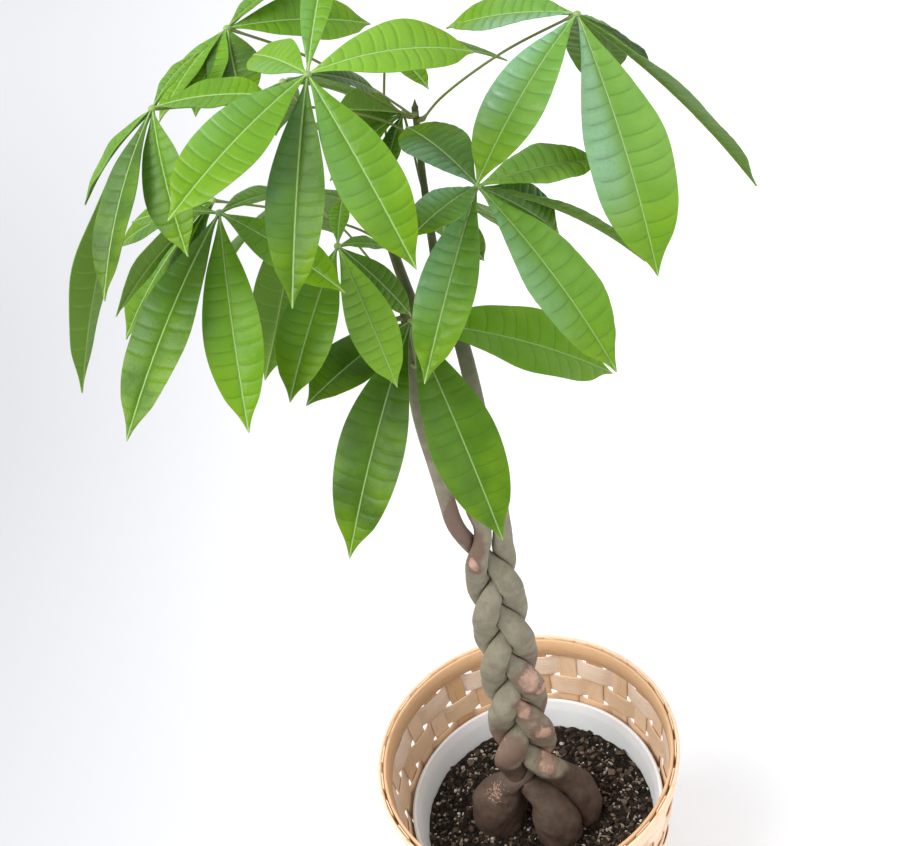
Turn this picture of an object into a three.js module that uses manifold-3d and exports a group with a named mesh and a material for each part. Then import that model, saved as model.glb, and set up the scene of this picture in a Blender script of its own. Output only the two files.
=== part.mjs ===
// Potted money tree: three plaited trunks with palmate leaves, in a white nursery pot
// that stands in a basket woven of flat split strips.
// Millimetres, +Z up. Origin: centre of the basket's underside, on the standing surface.
// The plaited trunk stands on the Z axis, and the photograph looks along +Y.

import * as THREE from 'three';
import { mergeVertices } from 'three/addons/utils/BufferGeometryUtils.js';
import Module from 'manifold-3d';

const wasm = await Module();
wasm.setup();

// ---------------------------------------------------------------- driving dimensions

const clearance = 0.3;

const basket = {
  height: 167,
  wallRadiusBottom: 62,
  wallRadiusTop: 85,
  stakeCount: 28,
  stakeWidth: 9,
  stripThickness: 0.8,
  rowCount: 10,
  rowPitch: 15,
  rowHeight: 13.4,
  firstRowBottom: 3,
  weaveOffset: 1.3,
  floorThickness: 2.4,
  footHoopWidth: 3,
  hoopHeight: 12,
  hoopThickness: 1.8,
};

const pot = {
  rimRadius: 75,
  rimHeight: 6,
  rimLip: 2.2,
  bodyTopRadius: 72.5,
  bodyBottomRadius: 54,
  height: 118,
  wall: 1.2,
  floor: 1.6,
  drainHoleRadius: 5,
  drainHoleCount: 6,
  drainCircleRadius: 34,
};

const soil = {
  topBelowRim: 19,
  moundHeight: 0.96,
  moundLength: 11,
  lumpLength: 6,
  wallGap: 0.4,
};

// The plait: one full turn of a strand takes turnHeight. Strand and plait grow wider downwards,
// by the two flares in millimetres for each millimetre of height. The swing to the front and
// back runs ahead of the swing to the sides by depthLead degrees, and pressedShare is the part
// of a strand's thickness that the plaiting presses out of it.
const plait = {
  topHeight: 335,
  bottomHeight: 165,
  turnHeight: 118,
  crossingHeight: 279,
  crossingTurn: 135,
  halfWidth: 8.6,
  widthFlare: 0.015,
  halfDepthShare: 0.45,
  depthLead: -22,
  pressedShare: 0.4,
  strandRadius: 7.8,
  radiusFlare: 0.0145,
  radiusFlareTop: 320,
  middleAtBottom: -2,
  middleAtTop: 2,
  gap: 1.2,
  blend: 4,
};

// The feet stand in plain holes in the soil. A foot is widest a little above the soil.
const footing = {
  depth: 12,
  holeClearance: 0.5,
  widestAboveSoil: 10,
  bulgeHeight: 34,
  narrowest: 0.35,
  easeHeight: 60,
};

// Each trunk: where it stands, its foot's radius, its step in the plait (thirds of a turn)
// and the stem above the plait as [x, y, z, radius].
const trunks = {
  trunk_left: {
    foot: [-23, 6], footRadius: 16.5, third: 2,
    stem: [
      [-12.5, 0, 358, 4.3], [-14, 0, 385, 4], [-17, 0, 430, 3.3], [-15, -2, 465, 2.8],
      [-13, -3, 492, 2.2],
    ],
  },
  trunk_middle: {
    foot: [10, -13], footRadius: 14, third: 1,
    stem: [
      [11.5, 3, 362, 4.8], [10.5, 2, 400, 4.2], [9, 2, 459, 3.6], [5, 4, 500, 2.8],
      [5, 6, 518, 1.9], [6.5, 14, 545, 1.5], [9, 22, 574, 1.4],
    ],
  },
  trunk_right: {
    foot: [25, 0], footRadius: 13.5, third: 0,
    stem: [
      [-1, -1, 362, 4.5], [-2, 6, 400, 4.1], [-6, 14, 450, 3.4], [-12, 20, 500, 2.4],
      [-14, 22, 522, 2],
    ],
  },
};

const leafShape = {
  thickness: 0.8,
  fold: 12,
  bend: 26,
  hubRadius: 2,
  petioleRadius: 0.7,
  petioleFootRadius: 1.1,
  petioleLead: 0.12,
  petioleBow: 0.06,
  outlinePeak: 1.18,
  outlineFullness: 0.9,
};

// Each leaf: its hub, the way its upper side faces [heading, tilt from upright], the trunk and
// height that it grows from, and its leaflets as [heading, pitch, length, width over length,
// roll about its own length, bend]. Headings turn from +X to +Y, a negative pitch droops.
// Where roll and bend aren't given, a leaflet isn't rolled and has the common bend.
const leaves = {
  leaf_crown_front: {
    hub: [-27, -50, 633], face: [-90, 25], trunk: 'trunk_middle', from: 571,
    leaflets: [
      [11, -10, 62, 0.38, 0, 50], [-65, -45, 79, 0.3], [-111, -44, 83, 0.25],
      [-140, -15, 74, 0.34], [121, -6, 38, 0.5], [69, 30, 50, 0.23], [42, -37, 38, 0.3],
    ],
  },
  leaf_far_left: {
    hub: [-85, -37, 626], face: [180, 15], trunk: 'trunk_middle', from: 563,
    leaflets: [
      [178, -43, 49, 0.28], [-119, -36, 73, 0.25], [-144, -54, 111, 0.24, 52],
      [-86, -41, 57, 0.32], [-22, 5, 48, 0.38], [49, 14, 30, 0.3],
    ],
  },
  leaf_crown_left: {
    hub: [-56, 10, 629], face: [90, 10], trunk: 'trunk_middle', from: 570,
    leaflets: [
      [24, -20, 63, 0.38, 38], [-130, -17, 49, 0.28], [-114, -20, 43, 0.42],
      [-88, -23, 41, 0.5], [41, 3, 46, 0.34],
    ],
  },
  leaf_low_left: {
    hub: [-74, -30, 574], face: [-90, 15], trunk: 'trunk_left', from: 488,
    leaflets: [
      [-125, -29, 96, 0.24], [-94, -42, 87, 0.26], [-45, -18, 63, 0.3],
      [57, -26, 57, 0.26], [142, -16, 53, 0.26],
    ],
  },
  leaf_young_front: {
    hub: [-33, -25, 545], face: [-90, 20], trunk: 'trunk_left', from: 480,
    leaflets: [
      [-70, -57, 62, 0.32], [-122, -32, 67, 0.35], [80, 9, 28, 0.3], [41, -33, 29, 0.3],
      [-10, -59, 45, 0.3],
    ],
  },
  leaf_right: {
    hub: [26, -35, 565], face: [-60, 15], trunk: 'trunk_middle', from: 505,
    leaflets: [
      [15, -9, 53, 0.42], [-49, -49, 91, 0.33], [-122, -34, 81, 0.28], [-130, 7, 47, 0.38],
      [114, 4, 55, 0.48], [25, -49, 51, 0.42, 35], [14, -43, 92, 0.2, -43],
    ],
  },
  leaf_far_right: {
    hub: [77, 0, 610], face: [-60, 5], trunk: 'trunk_middle', from: 568,
    leaflets: [
      [153, -7, 56, 0.48], [-137, -27, 80, 0.33], [-76, -60, 107, 0.33],
      [-2, -54, 115, 0.25, -26, 16], [76, -62, 49, 0.34], [60, -50, 60, 0.3],
      [31, -49, 53, 0.3],
    ],
  },
  leaf_low_front: {
    hub: [-11, -17, 495], face: [-90, 15], trunk: 'trunk_left', from: 462,
    leaflets: [
      [-129, -45, 105, 0.29], [-72, -52, 102, 0.3], [-140, -1, 63, 0.4],
      [5, -34, 102, 0.36],
    ],
  },
  leaf_crown_back: {
    hub: [2, 50, 589], face: [90, 5], trunk: 'trunk_right', from: 519,
    leaflets: [
      [11, -24, 57, 0.25], [-64, -15, 33, 0.32], [100, -32, 45, 0.32], [50, -30, 45, 0.32],
    ],
  },
  leaf_inner: {
    hub: [4, 29, 568], face: [180, 10], trunk: 'trunk_middle', from: 536,
    leaflets: [
      [-148, 28, 36, 0.5, 79], [-141, -10, 46, 0.34], [-118, -29, 32, 0.34],
      [172, -3, 42, 0.32], [150, -10, 40, 0.32],
    ],
  },
  leaf_behind_left: {
    hub: [-83, 25, 548], face: [-150, 15], trunk: 'trunk_right', from: 512,
    leaflets: [
      [-135, -15, 67, 0.26, 66], [-160, -41, 73, 0.4], [-156, -62, 72, 0.3],
      [158, -25, 60, 0.32], [100, -20, 60, 0.32],
    ],
  },
  leaf_back_high: {
    hub: [-45, 72, 572], face: [90, 20], trunk: 'trunk_right', from: 517,
    leaflets: [
      [20, -35, 50, 0.32], [62, -35, 66, 0.32], [105, -45, 74, 0.32], [150, -42, 64, 0.32],
    ],
  },
  leaf_back_low: {
    hub: [-48, 55, 527], face: [110, 20], trunk: 'trunk_right', from: 480,
    leaflets: [
      [-141, -59, 92, 0.3, 101], [35, -45, 66, 0.32], [80, -50, 78, 0.32],
      [120, -50, 80, 0.32], [160, -42, 66, 0.32],
    ],
  },
  leaf_back_right: {
    hub: [12, 50, 510], face: [60, 15], trunk: 'trunk_right', from: 465,
    leaflets: [
      [-19, -65, 38, 0.36, 85], [0, -40, 50, 0.32], [50, -45, 62, 0.32],
      [90, -50, 62, 0.32], [130, -42, 50, 0.32],
    ],
  },
};

const colours = {
  barkGrey: '#8b8676',
  leaf: '#5f9a35',
  leafYoung: '#7fb548',
  potWhite: '#eceae8',
  soilDark: '#2b211b',
  stripPale: '#dcb796',
  stripTan: '#c99862',
};

// ---------------------------------------------------------------- helpers

const rad = THREE.MathUtils.degToRad;

function vector(x, y, z) {
  return new THREE.Vector3(x, y, z);
}

// Skin a row of rings that all have the same number of points. A closed row joins its last
// ring to its first; an open one gets a flat cap at each end. Where "mirrored" is true, the
// second half of each ring is the underside of a blade, and its quads are split the same way
// as those above them.
function skin(rings, { closed = false, mirrored = false } = {}) {
  const count = rings[0].length;
  const positions = rings.flat().flatMap((point) => [point.x, point.y, point.z]);
  const index = [];
  const spans = closed ? rings.length : rings.length - 1;
  for (let i = 0; i < spans; i += 1) {
    const here = i * count;
    const next = ((i + 1) % rings.length) * count;
    for (let j = 0; j < count; j += 1) {
      const k = (j + 1) % count;
      const underside = mirrored && j >= count / 2;
      if (underside) {
        index.push(here + j, here + k, next + j, here + k, next + k, next + j);
      } else {
        index.push(here + j, here + k, next + k, here + j, next + k, next + j);
      }
    }
  }
  if (!closed) {
    const last = (rings.length - 1) * count;
    if (mirrored) {
      // Strips across the blade's two ends, top point to bottom point.
      const half = count / 2;
      for (let j = 0; j < half - 1; j += 1) {
        const low = count - 1 - j;
        index.push(j, low, j + 1, low, low - 1, j + 1);
        index.push(last + j, last + j + 1, last + low, last + low, last + j + 1, last + low - 1);
      }
    } else {
      for (let j = 1; j < count - 1; j += 1) {
        index.push(0, j + 1, j);
        index.push(last, last + j, last + j + 1);
      }
    }
  }
  const geometry = new THREE.BufferGeometry();
  geometry.setAttribute('position', new THREE.Float32BufferAttribute(positions, 3));
  geometry.setIndex(index);
  return geometry;
}

// A closed geometry as a solid that can be joined or cut.
function solid(geometry) {
  const bare = geometry.clone();
  bare.deleteAttribute('normal');
  bare.deleteAttribute('uv');
  const merged = mergeVertices(bare, 1e-4);
  const made = new wasm.Manifold(new wasm.Mesh({
    numProp: 3,
    vertProperties: new Float32Array(merged.attributes.position.array),
    triVerts: new Uint32Array(merged.index.array),
  }));
  return made.volume() < 0 ? solid(flipped(merged)) : made;
}

function flipped(geometry) {
  const turned = geometry.clone();
  turned.setIndex(Array.from(geometry.index.array).reverse());
  return turned;
}

function geometryOf(manifold) {
  const mesh = manifold.getMesh();
  const geometry = new THREE.BufferGeometry();
  geometry.setAttribute('position', new THREE.Float32BufferAttribute(mesh.vertProperties, 3));
  geometry.setIndex(Array.from(mesh.triVerts));
  return geometry;
}

function union(solids) {
  return solids.reduce((sum, next) => sum.add(next));
}

const model = new THREE.Group();

function addMesh(name, geometry, colour, roughness) {
  const faceted = geometry.toNonIndexed();
  faceted.computeVertexNormals();
  const material = new THREE.MeshStandardMaterial({ color: colour, roughness, metalness: 0 });
  const mesh = new THREE.Mesh(faceted, material);
  mesh.name = name;
  model.add(mesh);
}

// ---------------------------------------------------------------- basket

function wallRadius(height) {
  const share = height / basket.height;
  return basket.wallRadiusBottom + (basket.wallRadiusTop - basket.wallRadiusBottom) * share;
}

// A strip's four corners at one place on the wall: "angle" round the basket, "offset" out of
// the wall's middle surface, between two heights.
function wallSection(angle, offset, bottom, top, thickness) {
  const corner = (height, out) => {
    const radius = wallRadius(height) + out;
    return vector(radius * Math.cos(angle), radius * Math.sin(angle), height);
  };
  const half = thickness / 2;
  return [
    corner(bottom, offset - half),
    corner(bottom, offset + half),
    corner(top, offset + half),
    corner(top, offset - half),
  ];
}

function makeFloor() {
  const radius = wallRadius(0) - basket.footHoopWidth - clearance;
  const disc = lathe([
    [0, 0],
    [radius, 0],
    [radius, basket.floorThickness],
    [0, basket.floorThickness],
  ], basket.stakeCount);
  addMesh('basket_floor', geometryOf(solid(disc)), colours.stripPale, 0.6);
}

// The stakes stand in a foot hoop round the floor.
function makeStakes() {
  const inner = wallRadius(0) - basket.footHoopWidth;
  const outer = wallRadius(0) + basket.stripThickness / 2;
  const step = (2 * Math.PI) / basket.stakeCount;
  const hoopRings = Array.from({ length: basket.stakeCount }, (_, i) => [
    [inner, 0],
    [outer, 0],
    [outer, basket.floorThickness],
    [inner, basket.floorThickness],
  ].map(([radius, height]) => {
    const angle = step * (i + 0.5);
    const corner = radius / Math.cos(step / 2);
    return vector(corner * Math.cos(angle), corner * Math.sin(angle), height);
  }));
  const pieces = [solid(skin(hoopRings, { closed: true }))];
  const top = basket.height - 1;
  for (let i = 0; i < basket.stakeCount; i += 1) {
    const angle = step * i;
    const out = vector(Math.cos(angle), Math.sin(angle), 0);
    const along = vector(-Math.sin(angle), Math.cos(angle), 0);
    const corner = (height, side, face) => (
      out.clone().multiplyScalar(wallRadius(height) + (face * basket.stripThickness) / 2)
        .addScaledVector(along, (side * basket.stakeWidth) / 2)
        .setZ(height)
    );
    const rings = [0, top].map((height) => [
      corner(height, -1, -1),
      corner(height, 1, -1),
      corner(height, 1, 1),
      corner(height, -1, 1),
    ]);
    pieces.push(solid(skin(rings)));
  }
  addMesh('basket_stakes', geometryOf(union(pieces)), colours.stripPale, 0.6);
}

// One weaver: over a stake on the outside, the next on the inside, and so on round. The rows
// above and below go the other way.
function makeWeaver(row) {
  const bottom = basket.firstRowBottom + row * basket.rowPitch;
  const step = (2 * Math.PI) / basket.stakeCount;
  const top = bottom + basket.rowHeight;
  const flatShare = 0.3;
  const rings = [];
  for (let i = 0; i < basket.stakeCount; i += 1) {
    const side = (i + row) % 2 === 0 ? 1 : -1;
    for (const edge of [-flatShare, flatShare]) {
      const angle = step * (i + edge);
      const offset = side * basket.weaveOffset;
      rings.push(wallSection(angle, offset, bottom, top, basket.stripThickness));
    }
  }
  const name = `basket_weaver_${String(row + 1).padStart(2, '0')}`;
  const colour = row % 2 ? colours.stripPale : colours.stripTan;
  addMesh(name, geometryOf(solid(skin(rings, { closed: true }))), colour, 0.6);
}

// A rim hoop: a band with its outer edges eased, outside or inside the stakes' tops. It has
// one flat for each stake.
function makeHoop(name, side) {
  const top = basket.height;
  const bottom = top - basket.hoopHeight;
  const nearFace = basket.stripThickness / 2 + clearance + 0.1;
  const farFace = nearFace + basket.hoopThickness;
  const ease = 1;
  const outline = [
    [nearFace, bottom],
    [farFace, bottom + ease],
    [farFace, top - ease],
    [nearFace, top],
  ];
  const step = (2 * Math.PI) / basket.stakeCount;
  const rings = [];
  for (let i = 0; i < basket.stakeCount; i += 1) {
    const angle = step * (i + 0.5);
    rings.push(outline.map(([offset, height]) => {
      const radius = (wallRadius(height) + side * offset) / Math.cos(step / 2);
      return vector(radius * Math.cos(angle), radius * Math.sin(angle), height);
    }));
  }
  addMesh(name, geometryOf(solid(skin(rings, { closed: true }))), colours.stripTan, 0.5);
}

// ---------------------------------------------------------------- pot and soil

const potBase = basket.floorThickness + clearance;
const potTop = potBase + pot.height;
const soilTop = potTop - soil.topBelowRim;

function potOuterRadius(height) {
  const share = (height - potBase) / pot.height;
  return pot.bodyBottomRadius + (pot.bodyTopRadius - pot.bodyBottomRadius) * share;
}

function lathe(points, segments) {
  const profile = points.map(([radius, height]) => new THREE.Vector2(radius, height));
  return new THREE.LatheGeometry(profile, segments).rotateX(Math.PI / 2);
}

function makePot() {
  const lipBottom = potTop - pot.rimHeight;
  const body = solid(lathe([
    [0, potBase],
    [pot.bodyBottomRadius, potBase],
    [potOuterRadius(lipBottom), lipBottom],
    [pot.rimRadius, lipBottom + 0.5],
    [pot.rimRadius, potTop - 0.6],
    [pot.rimRadius - 0.6, potTop],
    [pot.rimRadius - pot.rimLip, potTop],
    [potOuterRadius(lipBottom) - pot.wall, lipBottom - 1],
    [pot.bodyBottomRadius - pot.wall, potBase + pot.floor],
    [0, potBase + pot.floor],
  ], 40));
  const drains = [];
  for (let i = 0; i < pot.drainHoleCount; i += 1) {
    const angle = (2 * Math.PI * i) / pot.drainHoleCount;
    const x = pot.drainCircleRadius * Math.cos(angle);
    const y = pot.drainCircleRadius * Math.sin(angle);
    const hole = new THREE.CylinderGeometry(pot.drainHoleRadius, pot.drainHoleRadius, 8, 10)
      .rotateX(Math.PI / 2)
      .translate(x, y, potBase);
    drains.push(solid(hole));
  }
  addMesh('nursery_pot', geometryOf(body.subtract(union(drains))), colours.potWhite, 0.35);
}

// Soft mounds and hollows of the soil's top.
function soilRise(x, y) {
  const mounds = Math.sin(x / soil.moundLength + 1) * Math.cos(y / soil.moundLength);
  const lumps = Math.sin((x + y) / soil.lumpLength) / 2;
  return soil.moundHeight * (mounds + lumps);
}

function makeSoil() {
  const innerRadius = (height) => potOuterRadius(height) - pot.wall - soil.wallGap;
  const bottom = potBase + pot.floor + clearance;
  const topRings = [1, 0.8, 0.55, 0.3];
  const points = [[0, bottom], [innerRadius(bottom), bottom]];
  for (const share of topRings) {
    points.push([innerRadius(soilTop) * share, soilTop]);
  }
  points.push([0, soilTop]);
  const geometry = lathe(points, 30);
  const position = geometry.attributes.position;
  for (let i = 0; i < position.count; i += 1) {
    const radius = Math.hypot(position.getX(i), position.getY(i));
    if (position.getZ(i) > soilTop - 1 && radius < innerRadius(soilTop) - 1) {
      position.setZ(i, soilTop + soilRise(position.getX(i), position.getY(i)));
    }
  }
  let body = solid(geometry);
  for (const name of Object.keys(trunks)) {
    const { foot, footRadius } = trunks[name];
    const radius = footRadius + footing.holeClearance;
    const height = 2 * footing.depth;
    const holeBottom = soilTop - footing.depth - footing.holeClearance;
    const hole = new THREE.CylinderGeometry(radius, radius, height, 16)
      .rotateX(Math.PI / 2)
      .translate(foot[0], foot[1], holeBottom + height / 2);
    body = body.subtract(solid(hole));
  }
  addMesh('soil', geometryOf(body), colours.soilDark, 0.95);
}

// ---------------------------------------------------------------- trunks

function smooth(low, high, value) {
  const t = THREE.MathUtils.clamp((value - low) / (high - low), 0, 1);
  return t * t * (3 - 2 * t);
}

// Half the plait's width between its outermost strand middles.
function plaitHalfWidth(height) {
  return plait.halfWidth + Math.max(0, plait.topHeight - height) * plait.widthFlare;
}

// The plait's middle leans a little over its height.
function plaitMiddle(height) {
  const share = (height - plait.bottomHeight) / (plait.topHeight - plait.bottomHeight);
  return plait.middleAtBottom + (plait.middleAtTop - plait.middleAtBottom) * share;
}

// A strand's thickness as a share of its width: pressed flat in the plait, and round in the
// feet and the stems.
function flatness(height) {
  const above = smooth(soilTop + 35, plait.bottomHeight + 15, height);
  const below = 1 - smooth(plait.topHeight - 20, plait.topHeight + 27, height);
  return 1 - plait.pressedShare * above * below;
}

// Where a stem is at a height, from its list of [x, y, z, radius].
function onStem(stem, height) {
  const points = stem.map(([x, y, z]) => vector(x, y, z));
  const curve = new THREE.CatmullRomCurve3(points, false, 'centripetal');
  let low = 0;
  let high = 1;
  for (let i = 0; i < 24; i += 1) {
    const middle = (low + high) / 2;
    if (curve.getPoint(middle).z < height) {
      low = middle;
    } else {
      high = middle;
    }
  }
  const point = curve.getPoint((low + high) / 2);
  const above = Math.max(1, stem.findIndex(([, , z]) => z >= height));
  const [, , z0, r0] = stem[above - 1];
  const [, , z1, r1] = stem[above];
  const share = THREE.MathUtils.clamp((height - z0) / (z1 - z0), 0, 1);
  return { x: point.x, y: point.y, radius: r0 + (r1 - r0) * share };
}

// A trunk's middle and radius at a height: its foot, then the plait
//   x = width sin(turn), y = depth sin(2 turn + lead),
// then its own stem, each eased into the next.
function trunkAt(name, height) {
  const { foot, footRadius, third, stem } = trunks[name];
  const turns = (height - plait.crossingHeight) / plait.turnHeight + third / 3;
  const turn = rad(plait.crossingTurn + 360 * turns);
  const width = plaitHalfWidth(height);
  let x = plaitMiddle(height) + width * Math.sin(turn);
  let y = width * plait.halfDepthShare * Math.sin(2 * turn + rad(plait.depthLead));
  let radius = plait.strandRadius + Math.max(0, plait.radiusFlareTop - height) * plait.radiusFlare;
  const inFoot = 1 - smooth(soilTop + footing.widestAboveSoil, plait.bottomHeight, height);
  x += (foot[0] - x) * inFoot;
  y += (foot[1] - y) * inFoot;
  const fromWidest = (height - soilTop - footing.widestAboveSoil) / footing.bulgeHeight;
  const bulge = footRadius * Math.sqrt(Math.max(footing.narrowest, 1 - fromWidest ** 2));
  const footTop = soilTop + footing.easeHeight;
  radius += (bulge - radius) * (1 - smooth(soilTop + 2 * footing.widestAboveSoil, footTop, height));
  const stemStart = stem[0][2];
  const inStem = smooth(plait.topHeight - 8, stemStart + 4, height);
  const above = onStem(stem, Math.max(height, stemStart));
  x += (above.x - x) * inStem;
  y += (above.y - y) * inStem;
  radius += (above.radius - radius) * smooth(plait.topHeight - 30, stemStart, height);
  return { x, y, radius };
}

// The ring of a trunk at a height: a round section that is pressed in where it meets another
// trunk, with a small gap between the two. The round and the pressed sides blend by
//   reach = (round^-p + sum over the others (facing / wall)^p)^(-1/p),
// and the whole section is then flattened from front to back.
function trunkRing(name, height, sides, extra) {
  const flat = flatness(height);
  const own = trunkAt(name, height);
  const others = Object.keys(trunks)
    .filter((other) => other !== name && height < trunkTop(other))
    .map((other) => trunkAt(other, height));
  const ring = [];
  for (let i = 0; i < sides; i += 1) {
    const angle = (2 * Math.PI * i) / sides;
    let sum = own.radius ** -plait.blend;
    for (const other of others) {
      const dx = other.x - own.x;
      const dy = (other.y - own.y) / flat;
      const apart = Math.hypot(dx, dy);
      const facing = (Math.cos(angle) * dx + Math.sin(angle) * dy) / apart;
      const shared = (apart ** 2 + own.radius ** 2 - other.radius ** 2) / (2 * apart);
      const wall = shared - plait.gap / 2;
      sum += Math.max(0, facing / wall) ** plait.blend;
    }
    const reach = sum ** (-1 / plait.blend) + extra;
    const x = own.x + reach * Math.cos(angle);
    const y = own.y + reach * Math.sin(angle) * flat;
    ring.push(vector(x, y, height));
  }
  return ring;
}

function trunkTop(name) {
  return trunks[name].stem.at(-1)[2];
}

// A trunk as a solid, its skin moved out by "extra". Its rings stand closer in the plait than
// on the stem.
function trunkSolid(name, extra) {
  const sides = 9;
  const plaitStep = 8.5;
  const stemStep = 30;
  const bottom = soilTop - footing.depth;
  const stemStart = plait.topHeight + 35;
  const heights = [];
  for (let height = bottom; height < stemStart - 2; height += plaitStep) {
    heights.push(height);
  }
  const stemSteps = Math.round((trunkTop(name) - stemStart) / stemStep);
  for (let i = 0; i <= stemSteps; i += 1) {
    heights.push(stemStart + ((trunkTop(name) - stemStart) * i) / stemSteps);
  }
  return solid(skin(heights.map((height) => trunkRing(name, height, sides, extra))));
}

// The trunks in turn, each with the room of those before it taken out.
function makeTrunks() {
  let taken = null;
  for (const name of Object.keys(trunks)) {
    const whole = trunkSolid(name, 0);
    const trimmed = taken ? whole.subtract(taken) : whole;
    const pieces = trimmed.decompose().sort((one, two) => two.volume() - one.volume());
    addMesh(name, geometryOf(pieces[0]), colours.barkGrey, 0.85);
    const room = trunkSolid(name, clearance);
    taken = taken ? taken.add(room) : room;
  }
}

// ---------------------------------------------------------------- leaves

function heading(degrees, pitch) {
  const a = rad(degrees);
  const b = rad(pitch);
  return vector(Math.cos(a) * Math.cos(b), Math.sin(a) * Math.cos(b), Math.sin(b));
}

// Half width of a leaflet along its length, as a share of its widest half width.
function leafletOutline(share) {
  const bow = Math.sin(Math.PI * share ** leafShape.outlinePeak);
  return Math.max(0, bow) ** leafShape.outlineFullness;
}

// A leaflet: its middle vein is an arc from the hub to the tip, arched towards its upper side;
// its two halves are folded up a little from the vein.
function makeLeaflet(hub, face, [turn, pitch, length, width, roll = 0, arc = leafShape.bend]) {
  const along = heading(turn, pitch);
  const side = face.clone().cross(along).normalize().applyAxisAngle(along, rad(roll));
  const up = along.clone().cross(side);
  const bend = rad(arc);
  const shares = length > 50 ? [0, 0.22, 0.5, 0.78, 1] : [0, 0.3, 0.68, 1];
  const rings = shares.map((share) => {
    const turned = bend * (share - 0.5);
    const reach = (Math.sin(turned) + Math.sin(bend / 2)) / (2 * Math.sin(bend / 2));
    const rise = (Math.cos(turned) - Math.cos(bend / 2)) / (2 * Math.sin(bend / 2));
    const middle = hub.clone()
      .addScaledVector(along, length * reach)
      .addScaledVector(up, length * rise);
    const local = up.clone()
      .multiplyScalar(Math.cos(turned))
      .addScaledVector(along, Math.sin(turned));
    const half = Math.max(0.7, (leafletOutline(share) * width * length) / 2);
    const lift = half * Math.tan(rad(leafShape.fold));
    const low = -leafShape.thickness / 2;
    const high = leafShape.thickness / 2;
    const point = (across, level) => middle.clone()
      .addScaledVector(side, across)
      .addScaledVector(local, level);
    return [
      point(half, lift + high),
      point(0, high),
      point(-half, lift + high),
      point(-half, lift + low),
      point(0, low),
      point(half, lift + low),
    ];
  });
  return solid(skin(rings, { mirrored: true }));
}

// A tube with a given radius at each point of a path.
function makeTube(points, radii, sides) {
  const curve = new THREE.CatmullRomCurve3(points, false, 'centripetal');
  const steps = radii.length - 1;
  const frames = curve.computeFrenetFrames(steps, false);
  const rings = radii.map((radius, i) => {
    const centre = curve.getPointAt(i / steps);
    return Array.from({ length: sides }, (_, j) => {
      const angle = (2 * Math.PI * j) / sides;
      return centre.clone()
        .addScaledVector(frames.normals[i], radius * Math.cos(angle))
        .addScaledVector(frames.binormals[i], radius * Math.sin(angle));
    });
  });
  return solid(skin(rings));
}

// The leaf stalk leaves the trunk's side, rises and bends over to the hub.
function makePetiole(leaf, hub) {
  const at = trunkAt(leaf.trunk, leaf.from);
  const middle = vector(at.x, at.y, leaf.from);
  const away = hub.clone().sub(middle);
  const flat = vector(away.x, away.y, 0).normalize();
  const { petioleRadius: thin, petioleFootRadius: thick, petioleLead, petioleBow } = leafShape;
  const start = middle.clone().addScaledVector(flat, at.radius + clearance + 0.6 * thick);
  const lead = start.clone()
    .addScaledVector(flat, away.length() * petioleLead)
    .add(vector(0, 0, away.length() * petioleLead));
  const bow = start.clone().lerp(hub, 0.55).add(vector(0, 0, away.length() * petioleBow));
  const radii = [thick, thin * 1.1, thin, thin, thin * 1.2];
  return makeTube([start, lead, bow, hub], radii, 4);
}

function makeLeaf(name, leaf) {
  const hub = vector(...leaf.hub);
  const face = heading(leaf.face[0], 90 - leaf.face[1]);
  const node = new THREE.IcosahedronGeometry(leafShape.hubRadius, 0).translate(hub.x, hub.y, hub.z);
  const pieces = [makePetiole(leaf, hub), solid(node)];
  for (const leaflet of leaf.leaflets) {
    pieces.push(makeLeaflet(hub, face, leaflet));
  }
  const young = name === 'leaf_young_front';
  addMesh(name, geometryOf(union(pieces)), young ? colours.leafYoung : colours.leaf, 0.4);
}

// ---------------------------------------------------------------- assembly

makeFloor();
makeStakes();
for (let row = 0; row < basket.rowCount; row += 1) {
  makeWeaver(row);
}
makeHoop('basket_rim_outer', 1);
makeHoop('basket_rim_inner', -1);
makePot();
makeSoil();
makeTrunks();
for (const [name, leaf] of Object.entries(leaves)) {
  makeLeaf(name, leaf);
}

export default model;
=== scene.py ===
# %% [markdown]
# # A potted money tree
# Three young trees were plaited together while they could still be bent. Above the plait each
# goes on as a bare stem with leaves like open hands. The tree grows in a thin white nursery
# pot, and the pot stands in a basket woven of flat split strips. Every surface below is a
# formula of two numbers, worked out on a grid and handed to Blender as a mesh.

import bpy
import numpy as np
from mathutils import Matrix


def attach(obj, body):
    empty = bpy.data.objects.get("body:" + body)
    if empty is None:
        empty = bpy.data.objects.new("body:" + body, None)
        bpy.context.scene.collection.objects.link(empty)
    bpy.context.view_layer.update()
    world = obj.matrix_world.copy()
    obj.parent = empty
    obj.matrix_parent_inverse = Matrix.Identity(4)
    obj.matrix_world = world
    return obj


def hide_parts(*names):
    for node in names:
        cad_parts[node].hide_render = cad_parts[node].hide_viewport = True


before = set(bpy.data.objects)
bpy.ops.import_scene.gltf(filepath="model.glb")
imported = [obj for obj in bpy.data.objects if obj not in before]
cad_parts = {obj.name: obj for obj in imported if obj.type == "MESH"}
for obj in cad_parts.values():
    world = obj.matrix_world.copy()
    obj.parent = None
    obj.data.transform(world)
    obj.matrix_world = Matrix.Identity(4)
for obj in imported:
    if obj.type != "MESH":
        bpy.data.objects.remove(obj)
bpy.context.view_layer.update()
print("packed nodes:", len(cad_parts))

# %% [markdown]
# ## The camera
# The photograph looks down on the plant at about forty degrees and is tilted a little, so the
# trunk leans in the picture although it grows upright. The camera's three axes below were
# worked out from the ellipses of the pot and the basket. A matrix whose columns are right, up
# and backwards places it in one step.

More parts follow.
